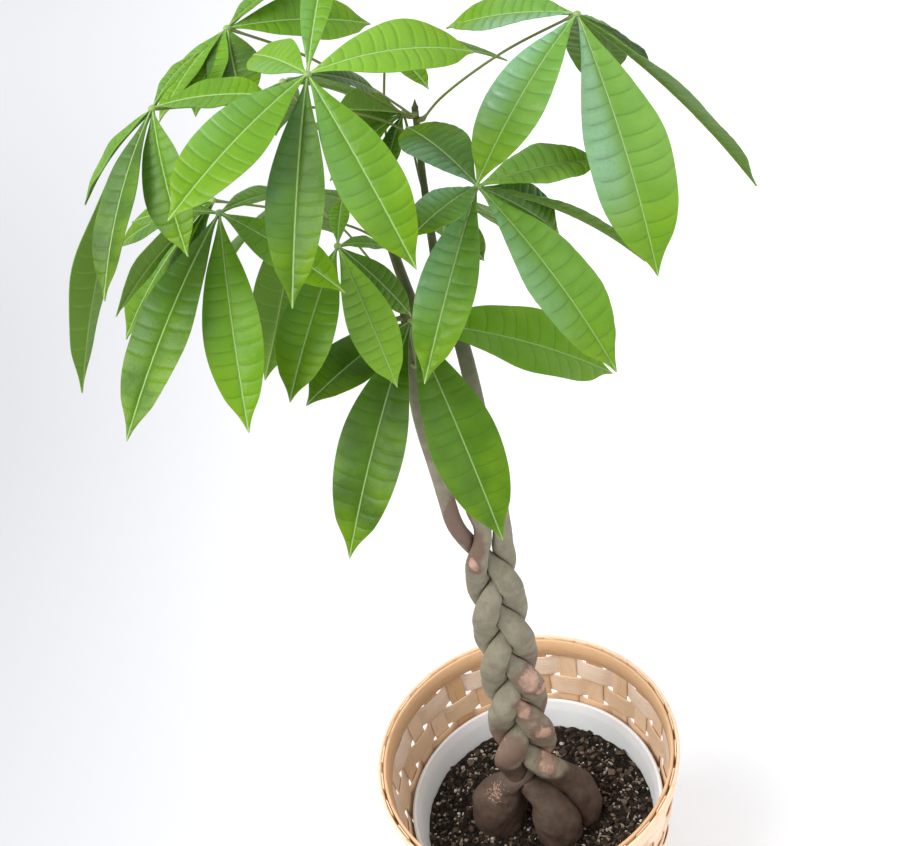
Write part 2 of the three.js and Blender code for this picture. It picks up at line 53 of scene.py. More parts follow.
# %% Camera
camera_right = np.array([0.97898, -0.12779, -0.15896])
camera_up = np.array([0.20390, 0.63180, 0.74784])
camera_place = np.array([0.0, -0.53636, 0.87287])
focal_pixels = 1500
frame_pixels = 902

camera_back = np.cross(camera_right, camera_up)
pose = np.eye(4)
pose[:3, 0] = camera_right
pose[:3, 1] = camera_up
pose[:3, 2] = camera_back
pose[:3, 3] = camera_place

lens = bpy.data.cameras.new("camera")
lens.sensor_width = 36
lens.lens = lens.sensor_width * focal_pixels / frame_pixels
lens.clip_start = 0.01
camera = bpy.data.objects.new("camera", lens)
bpy.context.scene.collection.objects.link(camera)
camera.matrix_world = pose.T.tolist()
bpy.context.scene.camera = camera
print("lens", round(lens.lens, 2), "mm, camera at", camera_place)

# %% [markdown]
# ## Meshes from arrays
# Most pieces here are rings of points carried along a path: a strip, a stem, a leaf blade. One
# small class collects such surfaces and turns them into one mesh. Each row of points is joined
# to the next with four-sided faces, and an open end is closed with a fan of triangles.

# %% A class that collects surfaces
MM = 0.001


class Surface:
    """Points, faces and values at the points, gathered in whole arrays, in millimetres."""

    def __init__(self):
        self.points, self.quads, self.triangles, self.values = [], [], [], {}
        self.count = 0

    def add(self, points, quads, triangles, values):
        """Adds points with their faces, whose numbers count from this batch's first point."""
        for name in set(values) | set(self.values):
            kept = self.values.setdefault(name, [np.zeros(self.count)])
            given = np.asarray(values.get(name, 0.0), float)
            kept.append(np.broadcast_to(given.reshape(-1) if given.ndim else given, len(points)))
        self.points.append(points)
        self.quads.append(np.asarray(quads, int).reshape(-1, 4) + self.count)
        self.triangles.append(np.asarray(triangles, int).reshape(-1, 3) + self.count)
        self.count += len(points)

    def skin(self, rings, closed=False, **values):
        """Joins rings[i, j] to rings[i + 1, j]. Closed joins the last ring to the first.
        Otherwise a fan from each end ring's middle closes the end. A shape whose faces would
        point inwards, so that its volume comes out negative, is turned."""
        rows, around = rings.shape[:2]
        number = np.arange(rows * around).reshape(rows, around)
        here = number if closed else number[:-1]
        after = np.roll(number, -1, 0) if closed else number[1:]
        quads = np.stack([here, np.roll(here, -1, 1), np.roll(after, -1, 1), after], 2)
        quads = quads.reshape(-1, 4)
        points = rings.reshape(-1, 3)
        spread = {n: np.broadcast_to(v, (rows, around)).reshape(-1) for n, v in values.items()}
        triangles = np.empty((0, 3), int)
        if not closed:
            first, last = number[0], number[-1]
            size = len(points)
            points = np.vstack([points, rings[0].mean(0), rings[-1].mean(0)])
            head = np.stack([np.roll(first, -1), first, np.full(around, size)], 1)
            tail = np.stack([last, np.roll(last, -1), np.full(around, size + 1)], 1)
            triangles = np.vstack([head, tail])
            for name, value in spread.items():
                ends = [value[:around].mean(), value[-around:].mean()]
                spread[name] = np.concatenate([value, ends])
        a, b, c, d = (points[quads[:, k]] for k in range(4))
        if np.sum(a * (np.cross(b, c) + np.cross(c, d))) < 0:
            quads, triangles = quads[:, ::-1], triangles[:, ::-1]
        self.add(points, quads, triangles, spread)

    def piece(self, name, replaces, slot, finish, sharp_angle=50):
        """Turns everything gathered into one smooth-shaded object that rides on the root."""
        points = np.vstack(self.points) * MM
        quads, triangles = np.vstack(self.quads), np.vstack(self.triangles)
        corners = np.concatenate([quads.ravel(), triangles.ravel()])
        sides = np.concatenate([np.full(len(quads), 4), np.full(len(triangles), 3)])
        mesh = bpy.data.meshes.new(name)
        mesh.vertices.add(len(points))
        mesh.vertices.foreach_set("co", points.astype(np.float32).ravel())
        mesh.loops.add(len(corners))
        mesh.loops.foreach_set("vertex_index", corners.astype(np.int32))
        mesh.polygons.add(len(sides))
        starts = np.concatenate([[0], np.cumsum(sides)[:-1]])
        mesh.polygons.foreach_set("loop_start", starts.astype(np.int32))
        mesh.update(calc_edges=True)
        for value_name, kept in self.values.items():
            attribute = mesh.attributes.new(value_name, "FLOAT", "POINT")
            attribute.data.foreach_set("value", np.concatenate(kept).astype(np.float32))
        mesh.shade_smooth()
        mesh.set_sharp_from_angle(angle=np.radians(sharp_angle))
        mesh.materials.append(finish)
        piece = bpy.data.objects.new(name, mesh)
        bpy.context.scene.collection.objects.link(piece)
        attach(piece, "root")
        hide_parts(*replaces)
        faces = len(quads) * 2 + len(triangles)
        print(f"{name}: {faces} triangles, top at {points[:, 2].max() / MM:.0f} mm")


# %% Small shared formulas
def smooth(low, high, value):
    """Nought below low, one above high, and t * t * (3 - 2 t) between them."""
    t = np.clip((value - low) / (high - low), 0, 1)
    return t * t * (3 - 2 * t)


def ripple(points, length, seed, waves=9):
    """Soft random relief, mostly between -1 and 1: sine waves about one length long run in
    seeded random directions, and their sum is divided by the root of their number."""
    draw = np.random.default_rng(seed)
    ways = draw.normal(size=(waves, 3))
    ways /= np.linalg.norm(ways, axis=1, keepdims=True)
    ways *= draw.uniform(0.7, 1.6, (waves, 1)) * 2 * np.pi / length
    shifts = draw.uniform(0, 2 * np.pi, waves)
    return np.sin(points @ ways.T + shifts).sum(-1) / np.sqrt(waves)


def round_the_axis(angle, radius, height):
    """Points (radius cos(angle), radius sin(angle), height) on the grid that the three span."""
    sides = (radius * np.cos(angle), radius * np.sin(angle), height)
    return np.stack(np.broadcast_arrays(*sides), 2)


def blend(start, end, share):
    """The start where share is nought, the end where it is one."""
    return start + (end - start) * share


def path_through(points, count):
    """A smooth path through a few points: between two of them, a cubic whose slopes come from
    the neighbours, with steps of time that are the square root of the distances."""
    p = np.asarray(points, float)
    p = np.vstack([2 * p[0] - p[1], p, 2 * p[-1] - p[-2]])
    gap = np.maximum(np.linalg.norm(np.diff(p, axis=0), axis=1), 1e-6) ** 0.5
    t = np.linspace(0, len(points) - 1, count)
    k = np.minimum(t.astype(int), len(points) - 2)
    s = (t - k)[:, None]
    p0, p1, p2, p3 = p[k], p[k + 1], p[k + 2], p[k + 3]
    g0, g1, g2 = gap[k][:, None], gap[k + 1][:, None], gap[k + 2][:, None]
    m1 = p2 - p1 + g1 * ((p1 - p0) / g0 - (p2 - p0) / (g0 + g1))
    m2 = p2 - p1 + g1 * ((p3 - p2) / g2 - (p3 - p1) / (g1 + g2))
    return (
        (2 * s**3 - 3 * s**2 + 1) * p1
        + (s**3 - 2 * s**2 + s) * m1
        + (3 * s**2 - 2 * s**3) * p2
        + (s**3 - s**2) * m2
    )


def tube_rings(path, radius, sides, up=(0, 0, 1)):
    """Circles square to a path. Their first direction is kept square to the path and to one
    fixed direction, so the tube doesn't twist."""
    ahead = np.gradient(path, axis=0)
    ahead /= np.linalg.norm(ahead, axis=1, keepdims=True)
    across = np.cross(ahead, up)
    across /= np.maximum(np.linalg.norm(across, axis=1, keepdims=True), 1e-9)
    above = np.cross(across, ahead)
    angle = np.linspace(0, 2 * np.pi, sides, endpoint=False)[None, :, None]
    radius = np.broadcast_to(radius, len(path))[:, None, None]
    round_part = np.cos(angle) * across[:, None] + np.sin(angle) * above[:, None]
    return path[:, None] + radius * round_part


# %% [markdown]
# ## Shader sums in plain Python
# A material is a net of nodes, and sums in it take a Math node each. The small class below
# wraps one output of a node, so that "1 - mask" or "grain * 0.5 + spots" writes those nodes.
# The second class makes every other node: its settings go first, then its sockets.


# %% Socket arithmetic
class Socket:
    """One output of a shader node. Its operators add Math nodes to the same net."""

    def __init__(self, finish, out):
        self.finish, self.out = finish, out

    def math(self, operation, *others):
        sockets = dict(enumerate((self, *others)))
        return self.finish.add("ShaderNodeMath", {"operation": operation}, sockets)

    def __add__(self, other):
        return self.math("ADD", other)

    def __sub__(self, other):
        return self.math("SUBTRACT", other)

    def __mul__(self, other):
        return self.math("MULTIPLY", other)

    def __rsub__(self, other):
        return (self * -1) + other

    __radd__, __rmul__ = __add__, __mul__

    def step(self, low, high):
        """Nought where the value is at low, one at high, smooth between."""
        settings = {"interpolation_type": "SMOOTHSTEP"}
        return self.finish.add("ShaderNodeMapRange", settings, {0: self, 1: low, 2: high})


class Finish:
    """A material whose nodes are written as expressions."""

    def __init__(self, name, roughness=0.5, **shader_values):
        self.material = bpy.data.materials.new(name)
        self.material.use_nodes = True
        self.net = self.material.node_tree
        self.shader = self.net.nodes["Principled BSDF"]
        self.set(Roughness=roughness, **shader_values)

    def add(self, kind, settings=None, sockets=None, out=0):
        """Makes a node: settings first, ramp stops as {"stops": [(place, colour), ...]}, then
        the values or links of its sockets, by number or name."""
        node = self.net.nodes.new(kind)
        for key, value in (settings or {}).items():
            if key == "stops":
                for spare in list(node.color_ramp.elements)[1:]:
                    node.color_ramp.elements.remove(spare)
                for number, (place, colour) in enumerate(value):
                    stops = node.color_ramp.elements
                    stop = stops[0] if number == 0 else stops.new(place)
                    stop.position, stop.color = place, (*colour, 1)
            else:
                setattr(node, key, value)
        for key, value in (sockets or {}).items():
            self.plug(node.inputs[key], value)
        return Socket(self, node.outputs[out])

    def plug(self, socket, value):
        """Links another node's output, or sets a number or a colour."""
        if isinstance(value, Socket):
            self.net.links.new(value.out, socket)
        elif isinstance(value, tuple) and len(value) == 3 and socket.type == "RGBA":
            socket.default_value = (*value, 1)
        else:
            socket.default_value = value

    def set(self, **sockets):
        """Fills sockets of the shader itself, with _ for each space in a socket's name."""
        for name, value in sockets.items():
            self.plug(self.shader.inputs[name.replace("_", " ")], value)

    def value(self, name):
        """A value kept at the mesh's points."""
        return self.add("ShaderNodeAttribute", {"attribute_name": name}, {}, out="Fac")

    def place(self, stretch=(1, 1, 1)):
        """The point's own place on the object, stretched."""
        where = self.add("ShaderNodeTexCoord", {}, {}, out="Object")
        return self.add("ShaderNodeMapping", {}, {"Vector": where, "Scale": stretch})

    def vector(self, x=0.0, y=0.0, z=0.0):
        return self.add("ShaderNodeCombineXYZ", {}, {0: x, 1: y, 2: z})

    def noise(self, where, scale, detail=3.0, rough=0.5, warp=0.0):
        """Soft random values about 0.5, whose lumps are about 1 / scale of a unit wide."""
        values = {"Vector": where, "Scale": scale, "Detail": detail}
        values |= {"Roughness": rough, "Distortion": warp}
        return self.add("ShaderNodeTexNoise", {}, values)

    def mix(self, share, first, second):
        """Colours: share of the second over the first."""
        colours = {0: share, 6: first, 7: second}
        return self.add("ShaderNodeMix", {"data_type": "RGBA"}, colours, out=2)

    def bump(self, height, depth_mm, strength):
        """Leans the surface as if it stood out by height times depth."""
        values = {"Height": height, "Distance": depth_mm * MM, "Strength": strength}
        return self.add("ShaderNodeBump", {}, values)


# %% [markdown]
# ## Floor and light
# The photograph was taken against white, in soft daylight from the upper left, and its
# backdrop greys a little towards the left edge. A wide pale floor fills the whole view, because
# the camera looks down. Painted shade greys it towards the left, less so with distance, and
# fades out to the right. A faint painted glow, stronger on the right, lifts the plant's shadow
# there and keeps that side as white as the backdrop. One large lamp stands in for the window, a
# weaker one fills from the right, and a white sky lifts the shadows.

# %% Floor
# The floor's glow is painted light: it lifts the plant's shadow off the floor, more on the right.
floor_finish = Finish("pale_floor", roughness=0.9, Emission_Strength=0.3)
where = {"Vector": floor_finish.place()}
# Painted shade: the floor darkens towards the left, less with distance, and its painted glow is
# weaker on that side.
painted_light_share = floor_finish.add("ShaderNodeSeparateXYZ", {}, where, out=0).step(-0.6, 0.35)
distant = floor_finish.add("ShaderNodeSeparateXYZ", {}, where, out=1).step(0.5, 1.7)
painted_left_shade = floor_finish.mix(distant, (0.47, 0.47, 0.48), (0.76, 0.76, 0.77))
floor_finish.set(
    Base_Color=floor_finish.mix(painted_light_share, painted_left_shade, (0.86, 0.86, 0.87)),
    Emission_Color=floor_finish.mix(painted_light_share, (0.3, 0.3, 0.31), (1.0, 1.0, 1.0)),
)
floor_reach = 6.0
floor_corners = floor_reach * np.array([[-1, -1, 0], [1, -1, 0], [1, 1, 0], [-1, 1, 0]])
floor_mesh = bpy.data.meshes.new("floor")
floor_mesh.from_pydata(floor_corners.tolist(), [], [(0, 1, 2, 3)])
floor_mesh.materials.append(floor_finish.material)
floor = bpy.data.objects.new("floor", floor_mesh)
bpy.context.scene.collection.objects.link(floor)
print("floor reaches", floor_reach, "m each way")

# %% Lamps and sky
plant_middle = np.array([0, 0, 0.4])


def add_lamp(name, place, size, watts):
    """A square lamp that faces the middle of the plant: its back points from there to it."""
    lamp = bpy.data.lights.new(name, "AREA")
    lamp.size, lamp.energy = size, watts
    back = np.array(place) - plant_middle
    back /= np.linalg.norm(back)
    right = np.cross([0, 0, 1], back)
    right /= np.linalg.norm(right)
    turn = np.eye(4)
    turn[:3] = np.stack([right, np.cross(back, right), back, place], 1)
    holder = bpy.data.objects.new(name, lamp)
    bpy.context.scene.collection.objects.link(holder)
    holder.matrix_world = turn.T.tolist()


add_lamp("window", (-1.3, -0.5, 2.0), 1.5, 52)
add_lamp("fill", (1.6, -1.2, 1.5), 1.8, 14)
sky = bpy.data.worlds.new("sky")
sky.use_nodes = True
background = sky.node_tree.nodes["Background"]
background.inputs["Color"].default_value = (0.95, 0.97, 1.0, 1)
background.inputs["Strength"].default_value = 0.7
bpy.context.scene.world = sky
bpy.context.scene.view_settings.view_transform = "Standard"
print("lamps:", [lamp.name for lamp in bpy.data.lights])

# %% [markdown]
# ## The basket
# The basket is a plain weave. Upright stakes stand in a foot hoop, and flat weavers run round
# them, over one stake and behind the next. The stakes' tops are pinched between two hoops. Real
# strips are split wood a bit under a millimetre thick, so each one is a thin closed band with
# eased edges that follows the cone of the wall.

# %% Sizes of the basket
basket_height = 167.0
wall_bottom = 62.0
wall_top = 85.0
stake_count = 28
stake_width = 11.2
strip_thickness = 0.8
row_count = 10
row_pitch = 15.0
row_height = 14.3
first_row = 3.0
weave_offset = 1.3
weave_snap = 2.2
floor_thickness = 2.4
hoop_height = 12.0
hoop_thickness = 1.8
stake_step = 2 * np.pi / stake_count
draw = np.random.default_rng(7)
print("weave:", row_count, "rows over", stake_count, "stakes")


def wall_radius(height):
    """The wall is a cone: its radius grows evenly from the bottom to the top."""
    return wall_bottom + (wall_top - wall_bottom) * height / basket_height


def strip_section(width, thickness, ease=0.25, crown=0.12):
    """A strip's outline, as (across, out) pairs: two faces that bulge by crown in the middle,
    joined by quarter-round edges."""
    across = np.array([-1.0, -0.85, -0.5, 0, 0.5, 0.85, 1.0])
    face = np.stack([across * (width / 2 - ease), thickness / 2 + crown * (1 - across**2)], 1)
    edge = np.array([[width / 2, thickness / 2 - ease], [width / 2, ease - thickness / 2]])
    return np.vstack([face, edge, face[::-1] * [1, -1], edge[::-1] * [-1, 1]])


# %% Weavers
def weaver_rings(row):
    """One round of a weaver. Its distance from the wall's middle swings like a cosine that is
    flattened by tanh, one half wave a stake, so it lies flat over each stake. Its height,
    width and lean drift a little as it goes round."""
    angle = np.linspace(0, 2 * np.pi, stake_count * 10, endpoint=False)
    swing = np.cos(angle / stake_step * np.pi + row * np.pi)
    offset = weave_offset * np.tanh(weave_snap * swing) / np.tanh(weave_snap)
    round_place = np.stack([np.cos(angle), np.sin(angle), np.full_like(angle, row)], 1)
    middle = first_row + row * row_pitch + row_height / 2 + 0.35 * ripple(round_place, 1.6, row)
    scale = 1 + 0.02 * ripple(round_place, 0.9, row + 50)
    lean = 0.02 * ripple(round_place, 0.7, row + 90)
    section = strip_section(row_height, strip_thickness)
    up = section[None, :, 0] * scale[:, None]
    out = section[None, :, 1] + offset[:, None] + up * lean[:, None]
    height = middle[:, None] + up
    rings = round_the_axis(angle[:, None], wall_radius(height) + out, height)
    along = angle[:, None] * wall_radius(middle)[:, None] + 0 * up
    return rings, along, up


# %% [markdown]
# ## The wood of the strips
# Split wood has long fine fibres, so its pattern is noise that is stretched along the strip.
# Each strip carries its own place along and across itself and its own tone, because real
# strips come from different canes: some pale and pinkish, some tan.


# %% Strip finish
def strip_finish(name, pale, warm, dark):
    """Fibres stretched twelve times along the strip over a slow change of tone."""
    wood = Finish(name, roughness=0.55, Specular_IOR_Level=0.35)
    along, across = wood.value("along"), wood.value("across")
    tone = wood.value("tone")
    fibre_place = wood.vector(along * 0.08, across, tone * 37)
    fibre = wood.noise(fibre_place, 1.6, 5, 0.65)
    slow = wood.noise(wood.vector(along * 0.02, across * 0.06, tone * 91), 1.4, 2)
    body = wood.mix((slow - 0.5 + tone).step(0.25, 0.85), pale, warm)
    streak = (fibre - 0.5).step(0.02, 0.22)
    colour = wood.mix(streak * 0.55, body, dark)
    flecks = wood.noise(wood.vector(along * 0.3, across * 2.2, tone * 11), 1.0, 2).step(0.68, 0.76)
    colour = wood.mix(flecks * 0.35, colour, dark)
    wood.set(
        Base_Color=colour,
        Roughness=fibre * 0.3 + 0.42,
        Normal=wood.bump(fibre, 0.25, 0.55),
    )
    return wood.material


wood_tones = {
    "weaver_wood": [(0.90, 0.72, 0.58), (0.80, 0.56, 0.36), (0.52, 0.30, 0.15)],
    "stake_wood": [(0.86, 0.62, 0.42), (0.72, 0.45, 0.24), (0.46, 0.25, 0.11)],
    "hoop_wood": [(0.90, 0.68, 0.47), (0.74, 0.46, 0.25), (0.44, 0.22, 0.09)],
}
weaver_wood, stake_wood, hoop_wood = (strip_finish(name, *wood_tones[name]) for name in wood_tones)
print("strip finishes:", list(wood_tones))

# %% Make the weavers
for row in range(row_count):
    weaver = Surface()
    rings, along, across = weaver_rings(row)
    weaver.skin(rings, closed=True, along=along, across=across, tone=draw.uniform(0.05, 0.95))
    name = f"weaver_{row + 1:02d}"
    slot = "strip_tan" if row % 2 == 0 else "strip_pale"
    weaver.piece(name, [f"basket_{name}"], slot, weaver_wood)

# %% Stakes
stakes = Surface()
heights = np.linspace(0.3, basket_height - 0.3, 60)
row_place = (heights - first_row) / row_pitch
below_hoops = smooth(basket_height - hoop_height, basket_height - 20, heights)
section = strip_section(stake_width, strip_thickness - 0.06, crown=0.03)
across = section[None, :, 0] * (0.94 + 0.08 * heights / basket_height)[:, None]
for number in range(stake_count):
    angle = stake_step * number
    sway = -0.18 * np.cos(np.pi * (row_place - 0.45) + number * np.pi) * below_hoops
    radius = wall_radius(heights)[:, None] + section[None, :, 1] + sway[:, None]
    side = across + 0.25 * np.sin(heights / 23 + number * 2.1)[:, None]
    x = radius * np.cos(angle) - side * np.sin(angle)
    y = radius * np.sin(angle) + side * np.cos(angle)
    rings = np.stack(np.broadcast_arrays(x, y, heights[:, None]), 2)
    stakes.skin(rings, along=heights[:, None], across=across, tone=draw.uniform(0, 1))


# %% The foot hoop, which the stakes stand in
def hoop_rings(inner, outer, bottom, top, leaning=True, count=224, ease=0.5):
    """A band round the basket: a rectangle with cut corners, carried round a circle. Its inner
    and outer radius count from the wall's middle at each height, or at the band's bottom if it
    doesn't lean with the wall."""
    outline = [
        (inner, bottom + ease), (inner + ease, bottom), (outer - ease, bottom),
        (outer, bottom + ease), (outer + 0.12, (bottom + top) / 2), (outer, top - ease),
        (outer - ease, top), (inner + ease, top), (inner, top - ease),
    ]
    shift, height = np.array(outline).T
    radius = shift + wall_radius(height if leaning else bottom)
    angle = np.linspace(0, 2 * np.pi, count, endpoint=False)[:, None]
    rings = round_the_axis(angle, radius, height)
    return rings, angle * radius.mean() + 0 * radius, height + 0 * angle


rings, along, across = hoop_rings(-3, 0.3, 0.0, floor_thickness, leaning=False)
stakes.skin(rings, closed=True, along=along, across=across, tone=0.5)
stakes.piece("stakes", ["basket_stakes"], "strip_pale", stake_wood)

# %% Rim hoops, outside and inside the stakes' tops
hoop_start = strip_thickness / 2 + 0.4
for name, side, tone in (("rim_outer", 1, 0.1), ("rim_inner", -1, 0.85)):
    hoop = Surface()
    inner, outer = sorted((side * hoop_start, side * (hoop_start + hoop_thickness)))
    rings, along, across = hoop_rings(inner, outer, basket_height - hoop_height, basket_height)
    hoop.skin(rings, closed=True, along=along, across=across, tone=tone)
    hoop.piece(name, [f"basket_{name}"], "strip_tan", hoop_wood)

# %% [markdown]
# ## The basket's floor
# Nobody sees it in the photograph. Such baskets have a mat of crossed strips for a floor, so
# two sets of strips are woven here, each as long as the round floor is wide at its place.

# %% Floor mat
mat = Surface()
mat_radius = 58.3
mat_pitch = 10.6
mat_width = 9.0
shortest_half = 12.0
section = strip_section(mat_width, strip_thickness - 0.1, crown=0.02)
for layer in (0, 1):
    for number, place in enumerate(np.arange(-5, 6) * mat_pitch):
        room = np.sqrt(mat_radius**2 - (abs(place) + mat_width / 2) ** 2)
        half = max(shortest_half, room)
        run = np.linspace(-half, half, 60)[:, None]
        lift = 0.42 * np.cos(np.pi * run / mat_pitch + (number + layer) * np.pi)
        across = section[None, :, 0] + 0 * run
        height = 1.2 + lift + section[None, :, 1]
        run = run + 0 * across
        flat = (run, place + across) if layer == 0 else (place + across, run)
        rings = np.stack([*flat, height], 2)
        mat.skin(rings, along=run, across=across, tone=draw.uniform(0, 1))
mat.piece("floor_mat", ["basket_floor"], "strip_pale", stake_wood)

# %% [markdown]
# ## The nursery pot
# A thin white pot, moulded in one piece, with a slightly thicker rim. It is a profile turned
# round the upright axis. Thin white plastic lets a little light through, so its finish has a
# trace of scattering under the surface.

# %% Pot finish
pot_finish = Finish(
    "nursery_plastic",
    roughness=0.32,
    Base_Color=(0.9, 0.9, 0.92),
    Subsurface_Weight=0.3,
    Subsurface_Scale=0.002,
)
grime = pot_finish.noise(pot_finish.place(), 60, 4, 0.6)
pot_white = pot_finish.mix(grime.step(0.5, 0.8) * 0.2, (0.93, 0.93, 0.94), (0.74, 0.73, 0.72))
pot_finish.set(Base_Color=pot_white, Roughness=grime * 0.25 + 0.22)
pot_finish.set(Normal=pot_finish.bump(pot_finish.noise(pot_finish.place(), 900, 2), 0.05, 0.3))
print("pot finish:", len(pot_finish.net.nodes), "nodes")

# %% Pot
pot_base = floor_thickness + 0.3
pot_height = 118.0
pot_top = pot_base + pot_height
pot_foot, pot_shoulder, pot_rim = 54.0, 72.5, 75.0
pot_wall = 1.2
lip = pot_top - 6


def pot_radius(height):
    """The body's outside widens evenly from its foot to its shoulder."""
    return pot_foot + (pot_shoulder - pot_foot) * (height - pot_base) / pot_height


pot_profile = [
    (6, pot_base + 0.6), (12, pot_base + 0.1), (pot_foot - 4, pot_base + 0.1),
    (pot_foot - 1, pot_base), (pot_foot + 0.2, pot_base + 0.6),
    (pot_radius(pot_base + 2) + 0.1, pot_base + 2), (pot_radius(60), 60),
    (pot_radius(lip - 1), lip - 1), (pot_radius(lip) + 0.4, lip - 0.2),
    (pot_rim - 0.5, lip + 0.2), (pot_rim, lip + 0.8), (pot_rim, pot_top - 0.9),
    (pot_rim - 0.4, pot_top - 0.25), (pot_rim - 0.9, pot_top), (pot_rim - 1.8, pot_top),
    (pot_rim - 2.2, pot_top - 0.3), (pot_rim - 2.4, pot_top - 1),
    (pot_radius(lip) - pot_wall + 0.5, lip + 0.6), (pot_radius(lip) - pot_wall, lip - 1),
    (pot_radius(60) - pot_wall, 60), (pot_foot - pot_wall, pot_base + 2.4),
    (pot_foot - 2, pot_base + 1.7), (12, pot_base + 1.6), (6, pot_base + 1.4),
]
angle = np.linspace(0, 2 * np.pi, 160, endpoint=False)[:, None]
pot = Surface()
pot.skin(round_the_axis(angle, *np.array(pot_profile).T), closed=True)
pot.piece("pot", ["nursery_pot"], "pot_white", pot_finish.material, sharp_angle=40)

# %% [markdown]
# ## The soil
# Potting mix is crumbs: near-black bark and peat, with tan fibres and pale grit. The bed is a
# disc with a random relief. Thousands of crumbs lie on it, each a twenty-sided lump with its
# own stretch and turn, and each carries a tone that its finish turns into a colour.

# %% Soil finish
soil_finish = Finish("potting_mix", roughness=0.95, Specular_IOR_Level=0.2)
tone = soil_finish.value("tone")
fine = soil_finish.noise(soil_finish.place(), 900, 4, 0.7)
crumb_colours = [
    (0.0, (0.012, 0.009, 0.007)),
    (0.4, (0.030, 0.021, 0.015)),
    (0.65, (0.095, 0.066, 0.046)),
    (0.84, (0.30, 0.24, 0.18)),
    (1.0, (0.70, 0.66, 0.60)),
]
mixed = soil_finish.add(
    "ShaderNodeValToRGB", {"stops": crumb_colours}, {0: tone + (fine - 0.5) * 0.35}
)
soil_finish.set(Base_Color=mixed, Normal=soil_finish.bump(fine, 0.5, 0.8))
print("soil colours:", len(crumb_colours))

# %% Bed of soil
soil_top = pot_top - 19
soil_radius = pot_radius(soil_top) - pot_wall - 0.2


def soil_height(place):
    """Mounds a few centimetres long, lumps of about a centimetre and half-centimetre ones."""
    mound = 0.9 * ripple(place, 46, 3) + 0.75 * ripple(place, 13, 4) + 0.35 * ripple(place, 5, 5)
    return soil_top - 0.6 + mound


share = np.concatenate([np.linspace(0.004, 1, 70), [1.0, 1.0]])[:, None]
angle = np.linspace(0, 2 * np.pi, 260, endpoint=False)[None, :]
bed = round_the_axis(angle, soil_radius * share, 0.0)
bed[..., 2] = soil_height(bed)
bed[-2:, :, 2] = [[soil_top - 14], [soil_top - 30]]
soil = Surface()
soil.skin(bed, tone=0.3)
print("soil bed:", soil.count, "points")

# %% The shape of a crumb
golden = (1 + 5**0.5) / 2
corners = np.array([[0, 1, golden], [0, -1, golden], [0, 1, -golden], [0, -1, -golden]], float)
corners = np.vstack([np.roll(corners, k, 1) for k in range(3)]) / 1.9
spacing = np.linalg.norm(corners[:, None] - corners[None], axis=2)
edge_length = spacing[spacing > 0.01].min()
joined = (spacing > 0.01) & (spacing < edge_length * 1.01)
lump_faces = np.array(
    [
        (a, b, c)
        for a in range(12)
        for b in range(a + 1, 12)
        for c in range(b + 1, 12)
        if joined[a, b] and joined[b, c] and joined[a, c]
    ]
)
first, second, third = corners[lump_faces].swapaxes(0, 1)
inward = np.sum(np.cross(second - first, third - first) * first, axis=1) < 0
lump_faces[inward] = lump_faces[inward][:, ::-1]
print("crumb:", len(corners), "corners and", len(lump_faces), "faces")


# %% Crumbs
def scatter_crumbs(surface, count, sizes, tones_and_shade, stretch, seed):
    """Spreads lumps evenly over the disc. Each corner is pushed in or out at random, the lump
    is stretched along one axis and turned about a random one."""
    draw = np.random.default_rng(seed)
    spread = np.sqrt(draw.uniform(0, 1, count)) * (soil_radius - 1.2)
    turn = draw.uniform(0, 2 * np.pi, count)
    place = np.stack([spread * np.cos(turn), spread * np.sin(turn), np.zeros(count)], 1)
    size = draw.uniform(*sizes, (count, 1, 1)) / 2
    longer, thinner = draw.uniform(*stretch, count), draw.uniform(0.5, 1, count)
    scale = np.stack([longer, np.ones(count), thinner], 1)
    lumps = corners[None] * draw.uniform(0.7, 1.15, (count, 12, 1)) * scale[:, None] * size
    basis = np.linalg.qr(draw.normal(size=(count, 3, 3)) + 1.2 * np.eye(3))[0]
    basis *= np.sign(np.linalg.det(basis))[:, None, None]
    lumps = np.einsum("nij,nkj->nki", basis, lumps)
    place[:, 2] = soil_height(place) + size[:, 0, 0] * 0.35
    points = (lumps + place[:, None]).reshape(-1, 3)
    faces = (lump_faces[None] + 12 * np.arange(count)[:, None, None]).reshape(-1, 3)
    tone = np.repeat(draw.uniform(*tones_and_shade, count), 12)
    surface.add(points, np.empty((0, 4), int), faces, {"tone": tone})


scatter_crumbs(soil, 3000, (1.4, 3.4), (0.0, 0.66), (0.8, 1.5), 11)
scatter_crumbs(soil, 650, (3.0, 5.4), (0.05, 0.72), (0.8, 1.4), 12)
scatter_crumbs(soil, 850, (1.3, 2.9), (0.74, 1.0), (0.8, 1.6), 13)
scatter_crumbs(soil, 320, (1.4, 2.6), (0.66, 0.86), (1.5, 3.4), 14)
soil.piece("soil_bed", ["soil"], "potting_mix", soil_finish.material, sharp_angle=35)

# %% [markdown]
# ## The plaited trunks
# A three-strand plait seen from the front is one curve used three times. While a strand's turn
# goes round once, it swings left and right once and to the front and back twice, and the next
# strand is a third of a turn behind. A small third swing keeps it at the sides for longer, and
# the swing to the front and back comes a little late. Where two strands meet they press each
# other flat, so the edge of a section is the nearer of its own round skin and the shared wall.
# Below the plait each trunk spreads into its foot, and above it each stem goes its own way.

# %% The plait's numbers
plait_top = 335.0
plait_bottom = 165.0
turn_height = 118.0
crossing_height = 271.5
crossing_turn = 135.0
half_width, width_flare = 8.5, 0.018
third_swing = 0.15
depth_share, depth_lead = 0.45, np.radians(-8)
middle_bottom, middle_top = -0.5, 1.7
strand_radius, radius_flare, flare_top = 6.7, 0.0145, 320.0
pressed_share = 0.4
foot_depth = 12.0
foot_widest, foot_bulge = soil_top + 10, 34.0
print("turns in the plait:", round((plait_top - plait_bottom) / turn_height, 2))

